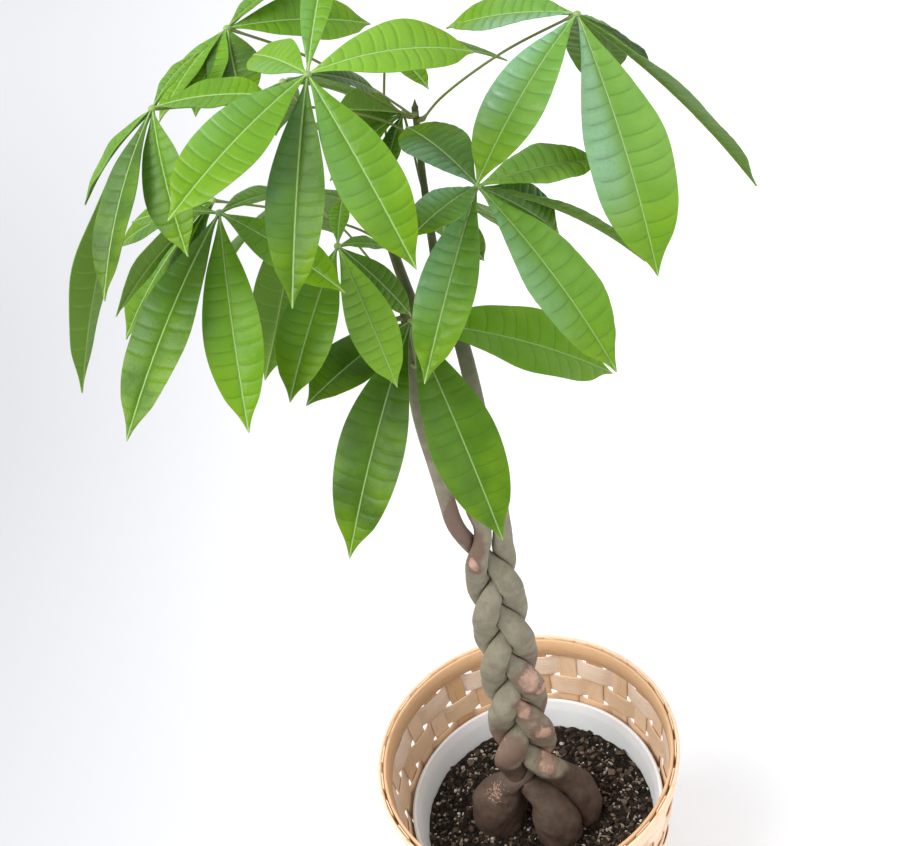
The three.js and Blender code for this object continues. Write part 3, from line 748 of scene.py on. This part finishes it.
# %% Feet and stems
# Each stem is a list of [x, y, height, radius].
trunks = {
    "trunk_left": {
        "foot": (-23, 6),
        "foot_radius": 16.5,
        "third": 2,
        "stem": [
            [-12.5, 0, 358, 4.3], [-14, 0, 385, 4], [-17, 0, 430, 3.3], [-15, -2, 465, 2.8],
            [-13, -3, 492, 2.2],
        ],
    },
    "trunk_middle": {
        "foot": (10, -13),
        "foot_radius": 14.0,
        "third": 1,
        "stem": [
            [11.5, 3, 362, 4.8], [10.5, 2, 400, 4.2], [9, 2, 459, 3.6], [5, 4, 500, 2.8],
            [5, 6, 518, 1.9], [6.5, 14, 545, 1.5], [9, 22, 574, 1.4],
        ],
    },
    "trunk_right": {
        "foot": (25, 0),
        "foot_radius": 13.5,
        "third": 0,
        "stem": [
            [-1, -1, 362, 4.5], [-2, 6, 400, 4.1], [-6, 14, 450, 3.4], [-12, 20, 500, 2.4],
            [-14, 22, 522, 2],
        ],
    },
}


def flatness(height):
    """In the plait the strands are pressed flat, to this share of their width; feet and stems
    are round."""
    above_feet = smooth(soil_top + 35, plait_bottom + 15, height)
    below_stems = 1 - smooth(plait_top - 20, plait_top + 27, height)
    return 1 - pressed_share * above_feet * below_stems


def trunk_at(name, height):
    """A trunk's middle and radius at some heights: its foot, then the plait, in which
    x = width (sin(turn) + third_swing sin(3 turn)) and
    y = depth_share width sin(2 turn + depth_lead), then its own stem, each eased into the
    next."""
    trunk = trunks[name]
    turns = (height - crossing_height) / turn_height + trunk["third"] / 3
    turn = np.radians(crossing_turn + 360 * turns)
    width = half_width + np.maximum(0, plait_top - height) * width_flare
    climb = (height - plait_bottom) / (plait_top - plait_bottom)
    x = blend(middle_bottom, middle_top, climb)
    x = x + width * (np.sin(turn) + third_swing * np.sin(3 * turn))
    y = depth_share * width * np.sin(2 * turn + depth_lead)
    radius = strand_radius + np.maximum(0, flare_top - height) * radius_flare
    in_foot = 1 - smooth(soil_top + 10, plait_bottom, height)
    x = blend(x, trunk["foot"][0], in_foot)
    y = blend(y, trunk["foot"][1], in_foot)
    bulge = np.sqrt(np.maximum(0.35, 1 - ((height - foot_widest) / foot_bulge) ** 2))
    wide = 1 - smooth(soil_top + 20, soil_top + 60, height)
    radius = blend(radius, trunk["foot_radius"] * bulge, wide)
    stem = np.array(trunk["stem"], float)
    start = stem[0, 2]
    path = path_through(stem[:, :3], 400)
    above = np.maximum(height, start)
    in_stem = smooth(plait_top - 8, start + 4, height)
    x = blend(x, np.interp(above, path[:, 2], path[:, 0]), in_stem)
    y = blend(y, np.interp(above, path[:, 2], path[:, 1]), in_stem)
    stem_radius = np.interp(above, stem[:, 2], stem[:, 3])
    return x, y, blend(radius, stem_radius, smooth(plait_top - 30, start, height))


# %% A trunk's skin
def trunk_rings(name, heights, sides, press=9, gap=0.35):
    """reach = (round^-p + sum over the other trunks of (facing / wall)^p)^(-1/p), where wall
    is the distance to the plane that two circles share, less half the gap. It is worked out
    with the front-to-back flattening taken out, and the flattening is put back at the end."""
    x, y, radius = trunk_at(name, heights)
    flat = flatness(heights)
    y = y / flat
    angle = np.linspace(0, 2 * np.pi, sides, endpoint=False)[None, :]
    cosine, sine = np.cos(angle), np.sin(angle)

    def skin_at(reach):
        grid = (x[:, None] + reach * cosine, y[:, None] + reach * sine, heights[:, None])
        return np.stack(np.broadcast_arrays(*grid), 2)

    total = radius[:, None] ** -press + 0 * angle
    for other in [key for key in trunks if key != name]:
        ox, oy, other_radius = trunk_at(other, heights)
        dx, dy = ox - x, oy / flat - y
        apart = np.maximum(np.hypot(dx, dy), 1e-6)
        wall = (apart**2 + radius**2 - other_radius**2) / (2 * apart) - gap / 2
        wall = np.where(heights < trunks[other]["stem"][-1][2], np.maximum(wall, 0.8), 99)
        facing = (cosine * dx[:, None] + sine * dy[:, None]) / apart[:, None]
        total = total + np.maximum(0, facing / wall[:, None]) ** press
    reach = total ** (-1 / press)
    skin = skin_at(reach)
    in_foot = 1 - smooth(soil_top + 30, soil_top + 62, heights)[:, None]
    relief = 0.10 * ripple(skin * [1, 1, 0.45], 9, 21) + 0.05 * ripple(skin * [1, 1, 2.5], 5, 22)
    relief = relief + in_foot * (0.5 * ripple(skin, 18, 23) + 0.12 * ripple(skin, 6, 24))
    skin = skin_at(reach + relief * np.clip(radius / 7, 0.35, 1.3)[:, None])
    skin[..., 1] *= flat[:, None]
    return skin


# %% [markdown]
# ## Bark
# The bark is grey-green where it is old and dull, brown at the swollen feet, and rubbed bare to
# a pinkish tan, with rusty edges, on the right of the lower plait. The young stems are olive,
# and pale scars speckle the left foot. Slow weights worked out at the points say where each
# shows, and fine noise in the finish breaks their edges up.

# %% Bark finish
bark = Finish("bark", roughness=0.8, Specular_IOR_Level=0.3)
grain = bark.noise(bark.place((1, 1, 0.35)), 420, 6, 0.65)
mottle = bark.noise(bark.place(), 130, 4, 0.6)
patch = bark.noise(bark.place(), 62, 5, 0.55, 0.6)
pits = bark.noise(bark.place((1, 1, 2.2)), 520, 3, 0.6)
grey = bark.mix(mottle.step(0.3, 0.7), (0.205, 0.185, 0.128), (0.275, 0.250, 0.180))
grey = bark.mix(grain.step(0.52, 0.7) * 0.35, grey, (0.12, 0.105, 0.075))
bare_colour = bark.mix(mottle.step(0.38, 0.6), (0.52, 0.325, 0.245), (0.31, 0.20, 0.145))
bare_colour = bark.mix(grain.step(0.5, 0.66) * 0.5, bare_colour, (0.26, 0.17, 0.125))
rust = (bark.value("rust") * 0.6 + patch).step(0.66, 0.86)
colour = bark.mix(rust * 0.8, grey, (0.165, 0.095, 0.070))
bare = (bark.value("bare") * 0.7 + patch * 0.7 + grain * 0.5 + pits * 0.3).step(1.16, 1.30)
colour = bark.mix(bare, colour, bare_colour)
foot_colour = bark.mix(mottle.step(0.3, 0.7), (0.068, 0.045, 0.033), (0.110, 0.075, 0.055))
at_foot = (bark.value("foot") + (patch - 0.5) * 0.8).step(0.3, 0.7)
colour = bark.mix(at_foot, colour, foot_colour)
scar = (bark.value("scar") * 0.25 + pits).step(0.76, 0.88)
colour = bark.mix(scar * 0.75, colour, (0.42, 0.27, 0.20))
shoot = bark.mix(mottle.step(0.35, 0.7), (0.042, 0.055, 0.010), (0.085, 0.092, 0.020))
colour = bark.mix(bark.value("shoot"), colour, shoot)
bark.set(
    Base_Color=colour,
    Roughness=mottle * 0.25 + 0.6 - bark.value("shoot") * 0.25,
    Normal=bark.bump(grain + pits * 0.5 + patch * 0.4, 0.5, 0.6),
)
print("bark finish:", len(bark.net.nodes), "nodes")

# %% Where the bark is bare, rusty and scarred
# Each spot is (x, height, reach sideways, reach upwards), seen from the front.
bare_spots = [
    (10, 236, 9, 12), (16, 225, 7, 9), (3, 211, 7, 9), (12, 190, 7, 11), (10, 162, 8, 8),
    (-7, 332, 3.4, 6),
]
rust_spots = [
    (-12, 181, 15, 15), (-20, 167, 12, 12), (18, 238, 4, 6), (17, 203, 4, 6), (22, 181, 7, 8),
    (-11, 358, 8, 22), (-5, 342, 7, 9),
]
rust_edges = [(x, z, 1.4 * wide, 1.4 * high) for x, z, wide, high in bare_spots]
scar_spots = [(-15, 183, 9, 9), (-25, 142, 9, 10)]
print("spots:", len(bare_spots + rust_spots + scar_spots))


def spots(x, z, places):
    """The strongest of some soft spots, each exp(-((x - x0) / rx)^2 - ((z - z0) / rz)^2)."""
    each = [np.exp(-(((x - x0) / rx) ** 2) - ((z - z0) / rz) ** 2) for x0, z0, rx, rz in places]
    return np.max(each, axis=0)


# %% Make the trunks
for name in trunks:
    top = trunks[name]["stem"][-1][2]
    heights = np.arange(soil_top - foot_depth, top, 1.25)
    skin = trunk_rings(name, heights, 72)
    px, py, pz = skin[..., 0], skin[..., 1], skin[..., 2]
    front = smooth(8, -2, py)
    bare = spots(px, pz, bare_spots) * front
    rust = np.maximum(spots(px, pz, rust_spots), 0.75 * spots(px, pz, rust_edges)) * front
    foot = 1 - smooth(150, 172, pz + 0.5 * px)
    scar = spots(px, pz, scar_spots) * front + 0.3 * foot
    shoot = smooth(385, 480, pz)
    trunk = Surface()
    trunk.skin(skin, bare=bare, rust=rust, foot=foot, scar=scar, shoot=shoot)
    if name == "trunk_middle":
        tip = path_through([[9, 22, 573], [9.2, 22.3, 574.5], [9.6, 22.6, 576.5]], 16)
        width = np.linspace(1.5, 0.15, 16)
        trunk.skin(tube_rings(tip, width, 12, (0, 1, 0)), shoot=1.0)
    trunk.piece(name + "_bark", [name], "bark", bark.material, sharp_angle=60)

# %% [markdown]
# ## The leaves
# A leaf of this tree is a hand: a stalk, a small knob, and four to seven leaflets that spread
# from it. A leaflet is narrow at the knob, widest past its middle and pointed at the tip. It
# hangs in an arc, its halves are folded up a little from the middle vein, and between its side
# veins the blade swells like a quilt. Each blade is one closed surface: for every place along
# and across, a point above and a point below.

# %% Table of the leaves
# Each leaf has the place of its knob (hub), the heading and lean of the way its upper side
# faces, its trunk, and the height at which its stalk leaves it. Quilt is how far the blade
# swells between the veins. Then comes its gloss and painted sheen: how glossy the leaf is, and
# how much painted reflection of the white sky its window side carries. Last, the tones say how
# light each leaflet is, partly its own green and partly painted light and shade: low for
# leaflets in shade, high for lit ones.
# A leaflet is (heading, pitch, length, width over length), then roll and bend where they are
# unusual. Lengths are in millimetres and angles in degrees.
leaves = {
    "leaf_crown_front": {
        "hub": (-27, -50, 633), "face": (-90, 25), "trunk": "trunk_middle", "from": 571,
        "quilt": 0.16, "cool": 0.25, "tones_and_shade": (0.8, 0.5, 0.25, 0.55, 0.75, 0.55, 0.12),
        "leaflets": [
            (11, -10, 62, 0.38, 0, 50), (-65, -45, 79, 0.3), (-111, -44, 83, 0.25),
            (-140, -15, 74, 0.34), (121, -6, 38, 0.5), (69, 30, 50, 0.23),
            (42, -37, 38, 0.3),
        ],
    },
    "leaf_far_left": {
        "hub": (-85, -37, 626), "face": (180, 15), "trunk": "trunk_middle", "from": 563,
        "quilt": 0.14, "cool": 0.15, "tones_and_shade": (0.45, 0.12, 0.3, 0.4, 0.5, 0.4),
        "leaflets": [
            (178, -43, 49, 0.28), (-119, -36, 73, 0.25), (-144, -54, 111, 0.24, 52),
            (-86, -41, 57, 0.32), (-22, 5, 48, 0.38), (49, 14, 30, 0.3),
        ],
    },
    "leaf_crown_left": {
        "hub": (-56, 10, 629), "face": (90, 10), "trunk": "trunk_middle", "from": 570,
        "quilt": 0.25, "cool": 0.15, "tones_and_shade": (0.5, 0.6, 0.6, 0.15, 0.4),
        "leaflets": [
            (24, -20, 63, 0.38, 38), (-130, -17, 49, 0.28), (-114, -20, 43, 0.42),
            (-88, -23, 41, 0.5), (41, 3, 46, 0.34),
        ],
    },
    "leaf_low_left": {
        "hub": (-74, -30, 574), "face": (-90, 15), "trunk": "trunk_left", "from": 488,
        "quilt": 0.22, "cool": 0.1, "tones_and_shade": (0.25, 0.62, 0.55, 0.4, 0.4),
        "leaflets": [
            (-125, -29, 96, 0.24), (-94, -42, 87, 0.26), (-45, -18, 63, 0.3),
            (57, -26, 57, 0.26), (142, -16, 53, 0.26),
        ],
    },
    "leaf_young_front": {
        "hub": (-33, -25, 545), "face": (-90, 20), "trunk": "trunk_left", "from": 480,
        "quilt": 0.3, "cool": 0.1, "tones_and_shade": (1.0, 0.45, 0.6, 0.6, 0.3),
        "leaflets": [
            (-70, -57, 62, 0.32), (-122, -32, 67, 0.35), (80, 9, 28, 0.3),
            (41, -33, 29, 0.3), (-10, -59, 45, 0.3),
        ],
    },
    "leaf_right": {
        "hub": (26, -35, 565), "face": (-60, 15), "trunk": "trunk_middle", "from": 505,
        "quilt": 0.8, "cool": 0.6, "tones_and_shade": (1.0, 0.62, 0.45, 0.35, 0.25, 0.3, 0.5),
        "leaflets": [
            (15, -9, 53, 0.42), (-49, -49, 91, 0.33), (-122, -34, 81, 0.28),
            (-130, 7, 47, 0.38), (114, 4, 55, 0.48), (25, -49, 51, 0.42, 35),
            (14, -43, 92, 0.2, -43),
        ],
    },
    "leaf_far_right": {
        "hub": (77, 0, 610), "face": (-60, 5), "trunk": "trunk_middle", "from": 568,
        "quilt": 0.6, "cool": 1.0, "tones_and_shade": (0.6, 0.6, 0.74, 0.6, 0.3, 0.45, 0.4),
        "leaflets": [
            (153, -7, 56, 0.48), (-137, -27, 80, 0.33), (-76, -60, 107, 0.33),
            (-2, -54, 115, 0.25, -26, 16), (76, -62, 49, 0.34), (60, -50, 60, 0.3),
            (31, -49, 53, 0.3),
        ],
    },
    "leaf_low_front": {
        "hub": (-11, -17, 495), "face": (-90, 15), "trunk": "trunk_left", "from": 462,
        "quilt": 0.24, "cool": 0.05, "tones_and_shade": (0.2, 0.3, 0.2, 0.65),
        "leaflets": [
            (-129, -45, 105, 0.29), (-72, -52, 102, 0.3), (-140, -1, 63, 0.4),
            (5, -34, 102, 0.36),
        ],
    },
    "leaf_crown_back": {
        "hub": (2, 50, 589), "face": (90, 5), "trunk": "trunk_right", "from": 519,
        "quilt": 0.25, "cool": 0.1, "tones_and_shade": (0.35, 0.4, 0.4, 0.4),
        "leaflets": [
            (11, -24, 57, 0.25), (-64, -15, 33, 0.32), (100, -32, 45, 0.32), (50, -30, 45, 0.32),
        ],
    },
    "leaf_inner": {
        "hub": (4, 29, 568), "face": (180, 10), "trunk": "trunk_middle", "from": 536,
        "quilt": 0.3, "cool": 0.1, "tones_and_shade": (0.55, 0.3, 0.25, 0.3, 0.3),
        "leaflets": [
            (-148, 28, 36, 0.5, 79), (-141, -10, 46, 0.34), (-118, -29, 32, 0.34),
            (172, -3, 42, 0.32), (150, -10, 40, 0.32),
        ],
    },
    "leaf_behind_left": {
        "hub": (-83, 25, 548), "face": (-150, 15), "trunk": "trunk_right", "from": 512,
        "quilt": 0.25, "cool": 0.1, "tones_and_shade": (0.5, 0.3, 0.4, 0.3, 0.3),
        "leaflets": [
            (-135, -15, 67, 0.26, 66), (-160, -41, 73, 0.4), (-156, -62, 72, 0.3),
            (158, -25, 60, 0.32), (100, -20, 60, 0.32),
        ],
    },
    "leaf_back_high": {
        "hub": (-45, 72, 572), "face": (90, 20), "trunk": "trunk_right", "from": 517,
        "quilt": 0.35, "cool": 0.1, "tones_and_shade": (0.4, 0.5, 0.45, 0.4),
        "leaflets": [
            (20, -35, 50, 0.32), (62, -35, 66, 0.32), (105, -45, 74, 0.32),
            (150, -42, 64, 0.32),
        ],
    },
    "leaf_back_low": {
        "hub": (-48, 55, 527), "face": (110, 20), "trunk": "trunk_right", "from": 480,
        "quilt": 0.3, "cool": 0.1, "tones_and_shade": (0.45, 0.4, 0.45, 0.4, 0.35),
        "leaflets": [
            (-141, -59, 92, 0.3, 101), (35, -45, 66, 0.32), (80, -50, 78, 0.32),
            (120, -50, 80, 0.32), (160, -42, 66, 0.32),
        ],
    },
    "leaf_back_right": {
        "hub": (12, 50, 510), "face": (60, 15), "trunk": "trunk_right", "from": 465,
        "quilt": 0.35, "cool": 0.1, "tones_and_shade": (0.2, 0.45, 0.5, 0.45, 0.4),
        "leaflets": [
            (-19, -65, 38, 0.36, 85), (0, -40, 50, 0.32), (50, -45, 62, 0.32),
            (90, -50, 62, 0.32), (130, -42, 50, 0.32),
        ],
    },
}
print(len(leaves), "leaves,", sum(len(data["leaflets"]) for data in leaves.values()), "leaflets")


# %% Small formulas of a leaf
def direction(turn, pitch):
    """A unit vector from its heading round the upright axis and its pitch above level."""
    a, b = np.radians(turn), np.radians(pitch)
    return np.array([np.cos(a) * np.cos(b), np.sin(a) * np.cos(b), np.sin(b)])


def blade_outline(s):
    """Half width along a leaflet, as a share of its widest: sin(pi s^1.25)^0.9, drawn in a
    little at the knob and more at the tip, which ends in a short point."""
    body = np.maximum(0, np.sin(np.pi * np.clip(s, 0, 1) ** 1.25)) ** 0.9
    return body * (0.8 + 0.2 * smooth(0, 0.3, s)) * (1 - 0.42 * smooth(0.84, 0.98, s))


# %% One leaflet
fold = np.radians(12)
vein_pairs = 14
half_thickness = 0.26
rib_depth = 0.75
groove_depth = 0.2
curl_share = 0.05


def add_leaflet(
    surface, hub, face, data, number, seed, turn, pitch, length, width, roll=0, bend=26
):
    """The middle vein is an arc from the knob to the tip. At each place along it, the blade
    leaves it sideways, lifted by the fold, and the quilt swells between the side veins. They
    bow towards the tip between the middle vein and the margin:
    phase = pairs * (s - slant * |v| * (1 - |v|) + slant / 4 * |v|^3)."""
    draw = np.random.default_rng(seed)
    along = direction(turn, pitch)
    side = np.cross(face, along)
    side /= np.linalg.norm(side)
    up = np.cross(along, side)
    roll, bend = np.radians(roll), np.radians(bend)
    side, up = np.cos(roll) * side + np.sin(roll) * up, np.cos(roll) * up - np.sin(roll) * side
    s = np.linspace(0, 1, 84)[:, None]
    t = np.linspace(-1, 1, 23)[None, :]
    v = np.sign(t) * np.abs(t) ** 1.5
    away = np.abs(v)
    turned_by = bend * (s - 0.5)
    reach = (np.sin(turned_by) + np.sin(bend / 2)) / (2 * np.sin(bend / 2))
    rise = (np.cos(turned_by) - np.cos(bend / 2)) / (2 * np.sin(bend / 2))
    narrowest = 0.55 * (1 - 0.8 * smooth(0.9, 1, s))
    half = np.maximum(blade_outline(s) * width * length / 2, narrowest)

    slant = 0.22 * half / length
    pairs = vein_pairs * (0.7 + 0.3 * length / 80)
    uneven = 0.012 * np.sin(2 * np.pi * (3.1 * s + draw.uniform())) * np.sign(v)
    phase = pairs * (s + uneven - slant * away * (1 - away) + 0.25 * slant * away**3)
    swell = np.abs(np.sin(np.pi * phase)) ** 0.6 * (0.75 + 0.25 * np.sin(2.3 * phase + 5 * v))
    fade = smooth(0.03, 0.14, s) * (1 - smooth(0.9, 0.985, s))
    inside = smooth(0.02, 0.25, away) * (1 - 0.6 * smooth(0.75, 1, away))
    waves = draw.uniform(1.6, 3.2)
    shift = draw.uniform(0, 2 * np.pi, 2)
    curl = np.sin(2 * np.pi * waves * s + np.where(v > 0, *shift))
    level = half * np.tan(fold) * away * (1 - 0.3 * away)
    level = level + curl_share * half * curl * away**2 * fade
    level = level + data["quilt"] * swell * fade * inside
    level = level - groove_depth * np.exp(-((half * v / 0.6) ** 2)) * fade
    thick = half_thickness * (1 - 0.45 * away**3)
    rib = rib_depth * (1 - 0.7 * s) * np.exp(-((half * v / 0.75) ** 2))

    local = up * np.cos(turned_by)[..., None] + along * np.sin(turned_by)[..., None]
    middle = hub + along * (length * reach)[..., None] + up * (length * rise)[..., None]
    flat = middle + side * (half * v)[..., None]
    above = flat + local * (level + thick)[..., None]
    below = flat + local * (level - thick - rib)[..., None]

    def both(upper, lower=None):
        """Values for a ring, which runs back over the upper side and out over the lower."""
        upper = upper + 0 * s * v
        return np.concatenate([upper[:, ::-1], upper if lower is None else lower + 0 * s * v], 1)

    # Painted reflection: the half of the blade that faces the window, on the left, carries a share
    # of painted cool white sheen, fading out before the tip. The same value also sets the leaf's
    # real gloss.
    lit = 0.2 + 0.8 * smooth(-0.1, 0.6, -side[0] * v)
    # The leaflet's tone is partly its own green and partly painted light and shade.
    surface.skin(
        np.concatenate([above[:, ::-1], below], 1),
        along=both(s * length),
        across=both(v * half),
        vein=both(phase),
        margin=both(away),
        tip=both(s),
        under=both(0.0, 1.0),
        tone=data["tones_and_shade"][number],
        cool=both(data["cool"] * lit * (1 - smooth(0.5, 0.85, s))),
        stalk=0.0,
    )


# %% [markdown]
# ## Leaf colour
# A leaf is not one green. Its side veins are sunk, and painted shade darkens them on the upper
# side, where shade falls in their creases. The middle vein is pale, the tips and margins are
# yellower, young leaves are fresher, and the underside is dull and light. The upper side has a
# soft waxy shine, and where it faces the window a painted reflection mixes a cool white into its
# colour. The veins follow the value "vein" that each point carries, so they lie exactly where
# the quilt dips.

# %% Leaf finish
leaf = Finish(
    "leaf",
    roughness=0.38,
    Specular_IOR_Level=0.22,
    Subsurface_Weight=0.12,
    Subsurface_Radius=(0.6, 1.0, 0.1),
    Subsurface_Scale=0.0012,
)
tone, tip, margin = leaf.value("tone"), leaf.value("tip"), leaf.value("margin")
under, across, cool = leaf.value("under"), leaf.value("across"), leaf.value("cool")
to_vein = (leaf.value("vein") * np.pi).math("SINE").math("ABSOLUTE")
vein = (1 - to_vein.step(0.0, 0.3)) * (1 - margin.step(0.7, 0.95))
rib = 1 - across.math("ABSOLUTE").step(0.12, 0.5)
cells = leaf.noise(leaf.vector(leaf.value("along"), across, tone * 50), 0.55, 4, 0.6)
blotch = leaf.noise(leaf.vector(leaf.value("along"), across, tone * 90), 0.07, 2, 0.5)
# The green ramp runs from a shaded dark green to a lit light green, so each leaflet's tone paints
# its light and shade as well as its own green.
greens = [
    (0.0, (0.034, 0.080, 0.001)),
    (0.3, (0.078, 0.185, 0.002)),
    (0.6, (0.125, 0.285, 0.004)),
    (1.0, (0.215, 0.410, 0.030)),
]
green = leaf.add("ShaderNodeValToRGB", {"stops": greens}, {0: tone + (blotch - 0.5) * 0.45})
yellow = (tip * 0.6 + margin * 0.2 + (blotch - 0.5) * 0.9).step(0.4, 1.0)
green = leaf.mix(yellow * 0.6, green, (0.175, 0.295, 0.003))
# Painted reflection: a cool white sheen of the sky mixed into the colour on the window side.
green = leaf.mix(cool * (cells + 0.2), green, (0.22, 0.43, 0.27))
# Painted shade: the sunk side veins are darkened on the upper side, where shade falls in their
# creases, a little more on the sheeny half.
green = leaf.mix(vein * (cells * 0.3 + blotch * 0.3 + cool * 0.2), green, (0.035, 0.095, 0.003))
green = leaf.mix((cells - 0.5).step(0.05, 0.3) * 0.22, green, (0.05, 0.12, 0.004))
green = leaf.mix(rib * 0.7, green, (0.38, 0.54, 0.21))
dull = leaf.mix(vein * 0.5, (0.115, 0.23, 0.020), (0.17, 0.30, 0.05))
green = leaf.mix(under, green, leaf.mix(rib, dull, (0.26, 0.38, 0.10)))
stalk_colour = leaf.mix(blotch, (0.11, 0.13, 0.030), (0.19, 0.24, 0.06))
green = leaf.mix(leaf.value("stalk"), green, stalk_colour)
relief = to_vein.step(0.0, 0.7) * (1 - rib) * (blotch + cool * 1.5 + 0.3) + (cells - 0.5) * 0.8
leaf.set(
    Coat_Weight=cool * 0.6,
    Coat_Roughness=0.24,
    Base_Color=green,
    Roughness=cells * 0.2 + under * 0.2 - cool * 0.12 + 0.28,
    Normal=leaf.bump(relief, 0.25, 0.8),
)
print("leaf finish:", len(leaf.net.nodes), "nodes")


# %% Stalk and knob of one leaf
def add_stalk(surface, data, hub):
    """The stalk leaves the trunk's side, rises and bends over to the knob. It is thick at
    both ends, where the real one has its joints."""
    height = np.array([float(data["from"])])
    x, y, radius = (value[0] for value in trunk_at(data["trunk"], height))
    middle = np.array([x, y, data["from"]])
    away = hub - middle
    span = np.linalg.norm(away)
    level = np.array([away[0], away[1], 0]) / np.hypot(away[0], away[1])
    start = middle + level * (radius + 1.08)
    rise = start + (level + [0, 0, 1]) * span * 0.12
    bow = blend(start, hub, 0.55) + [0, 0, span * 0.06]
    path = path_through([start, rise, bow, hub], 48)
    path[0] = middle + level * radius * 0.5
    s = np.linspace(0, 1, 48)
    width = 0.55 + 0.75 * (1 - smooth(0, 0.09, s)) + 0.35 * smooth(0.93, 1, s)
    surface.skin(tube_rings(path, width, 14), stalk=1.0, tone=0.5, along=s[:, None] * span)


def add_knob(surface, hub, radius, tone):
    """A ball flattened to three quarters: rings of latitude."""
    latitude = np.linspace(-1.45, 1.45, 12)[:, None]
    angle = np.linspace(0, 2 * np.pi, 20, endpoint=False)[None, :]
    ball = round_the_axis(angle, np.cos(latitude), 0.75 * np.sin(latitude))
    surface.skin(hub + radius * ball, stalk=0.35, tone=tone, tip=1.0)


# %% Make the leaves
for order, (name, data) in enumerate(leaves.items()):
    hub = np.array(data["hub"], float)
    face = direction(data["face"][0], 90 - data["face"][1])
    plant_part = Surface()
    add_stalk(plant_part, data, hub)
    add_knob(plant_part, hub, 1.6, 0.9)
    for number, leaflet in enumerate(data["leaflets"]):
        add_leaflet(plant_part, hub, face, data, number, 100 * order + number, *leaflet)
    plant_part.piece(name + "_blades", [name], "leaf", leaf.material, sharp_angle=62)
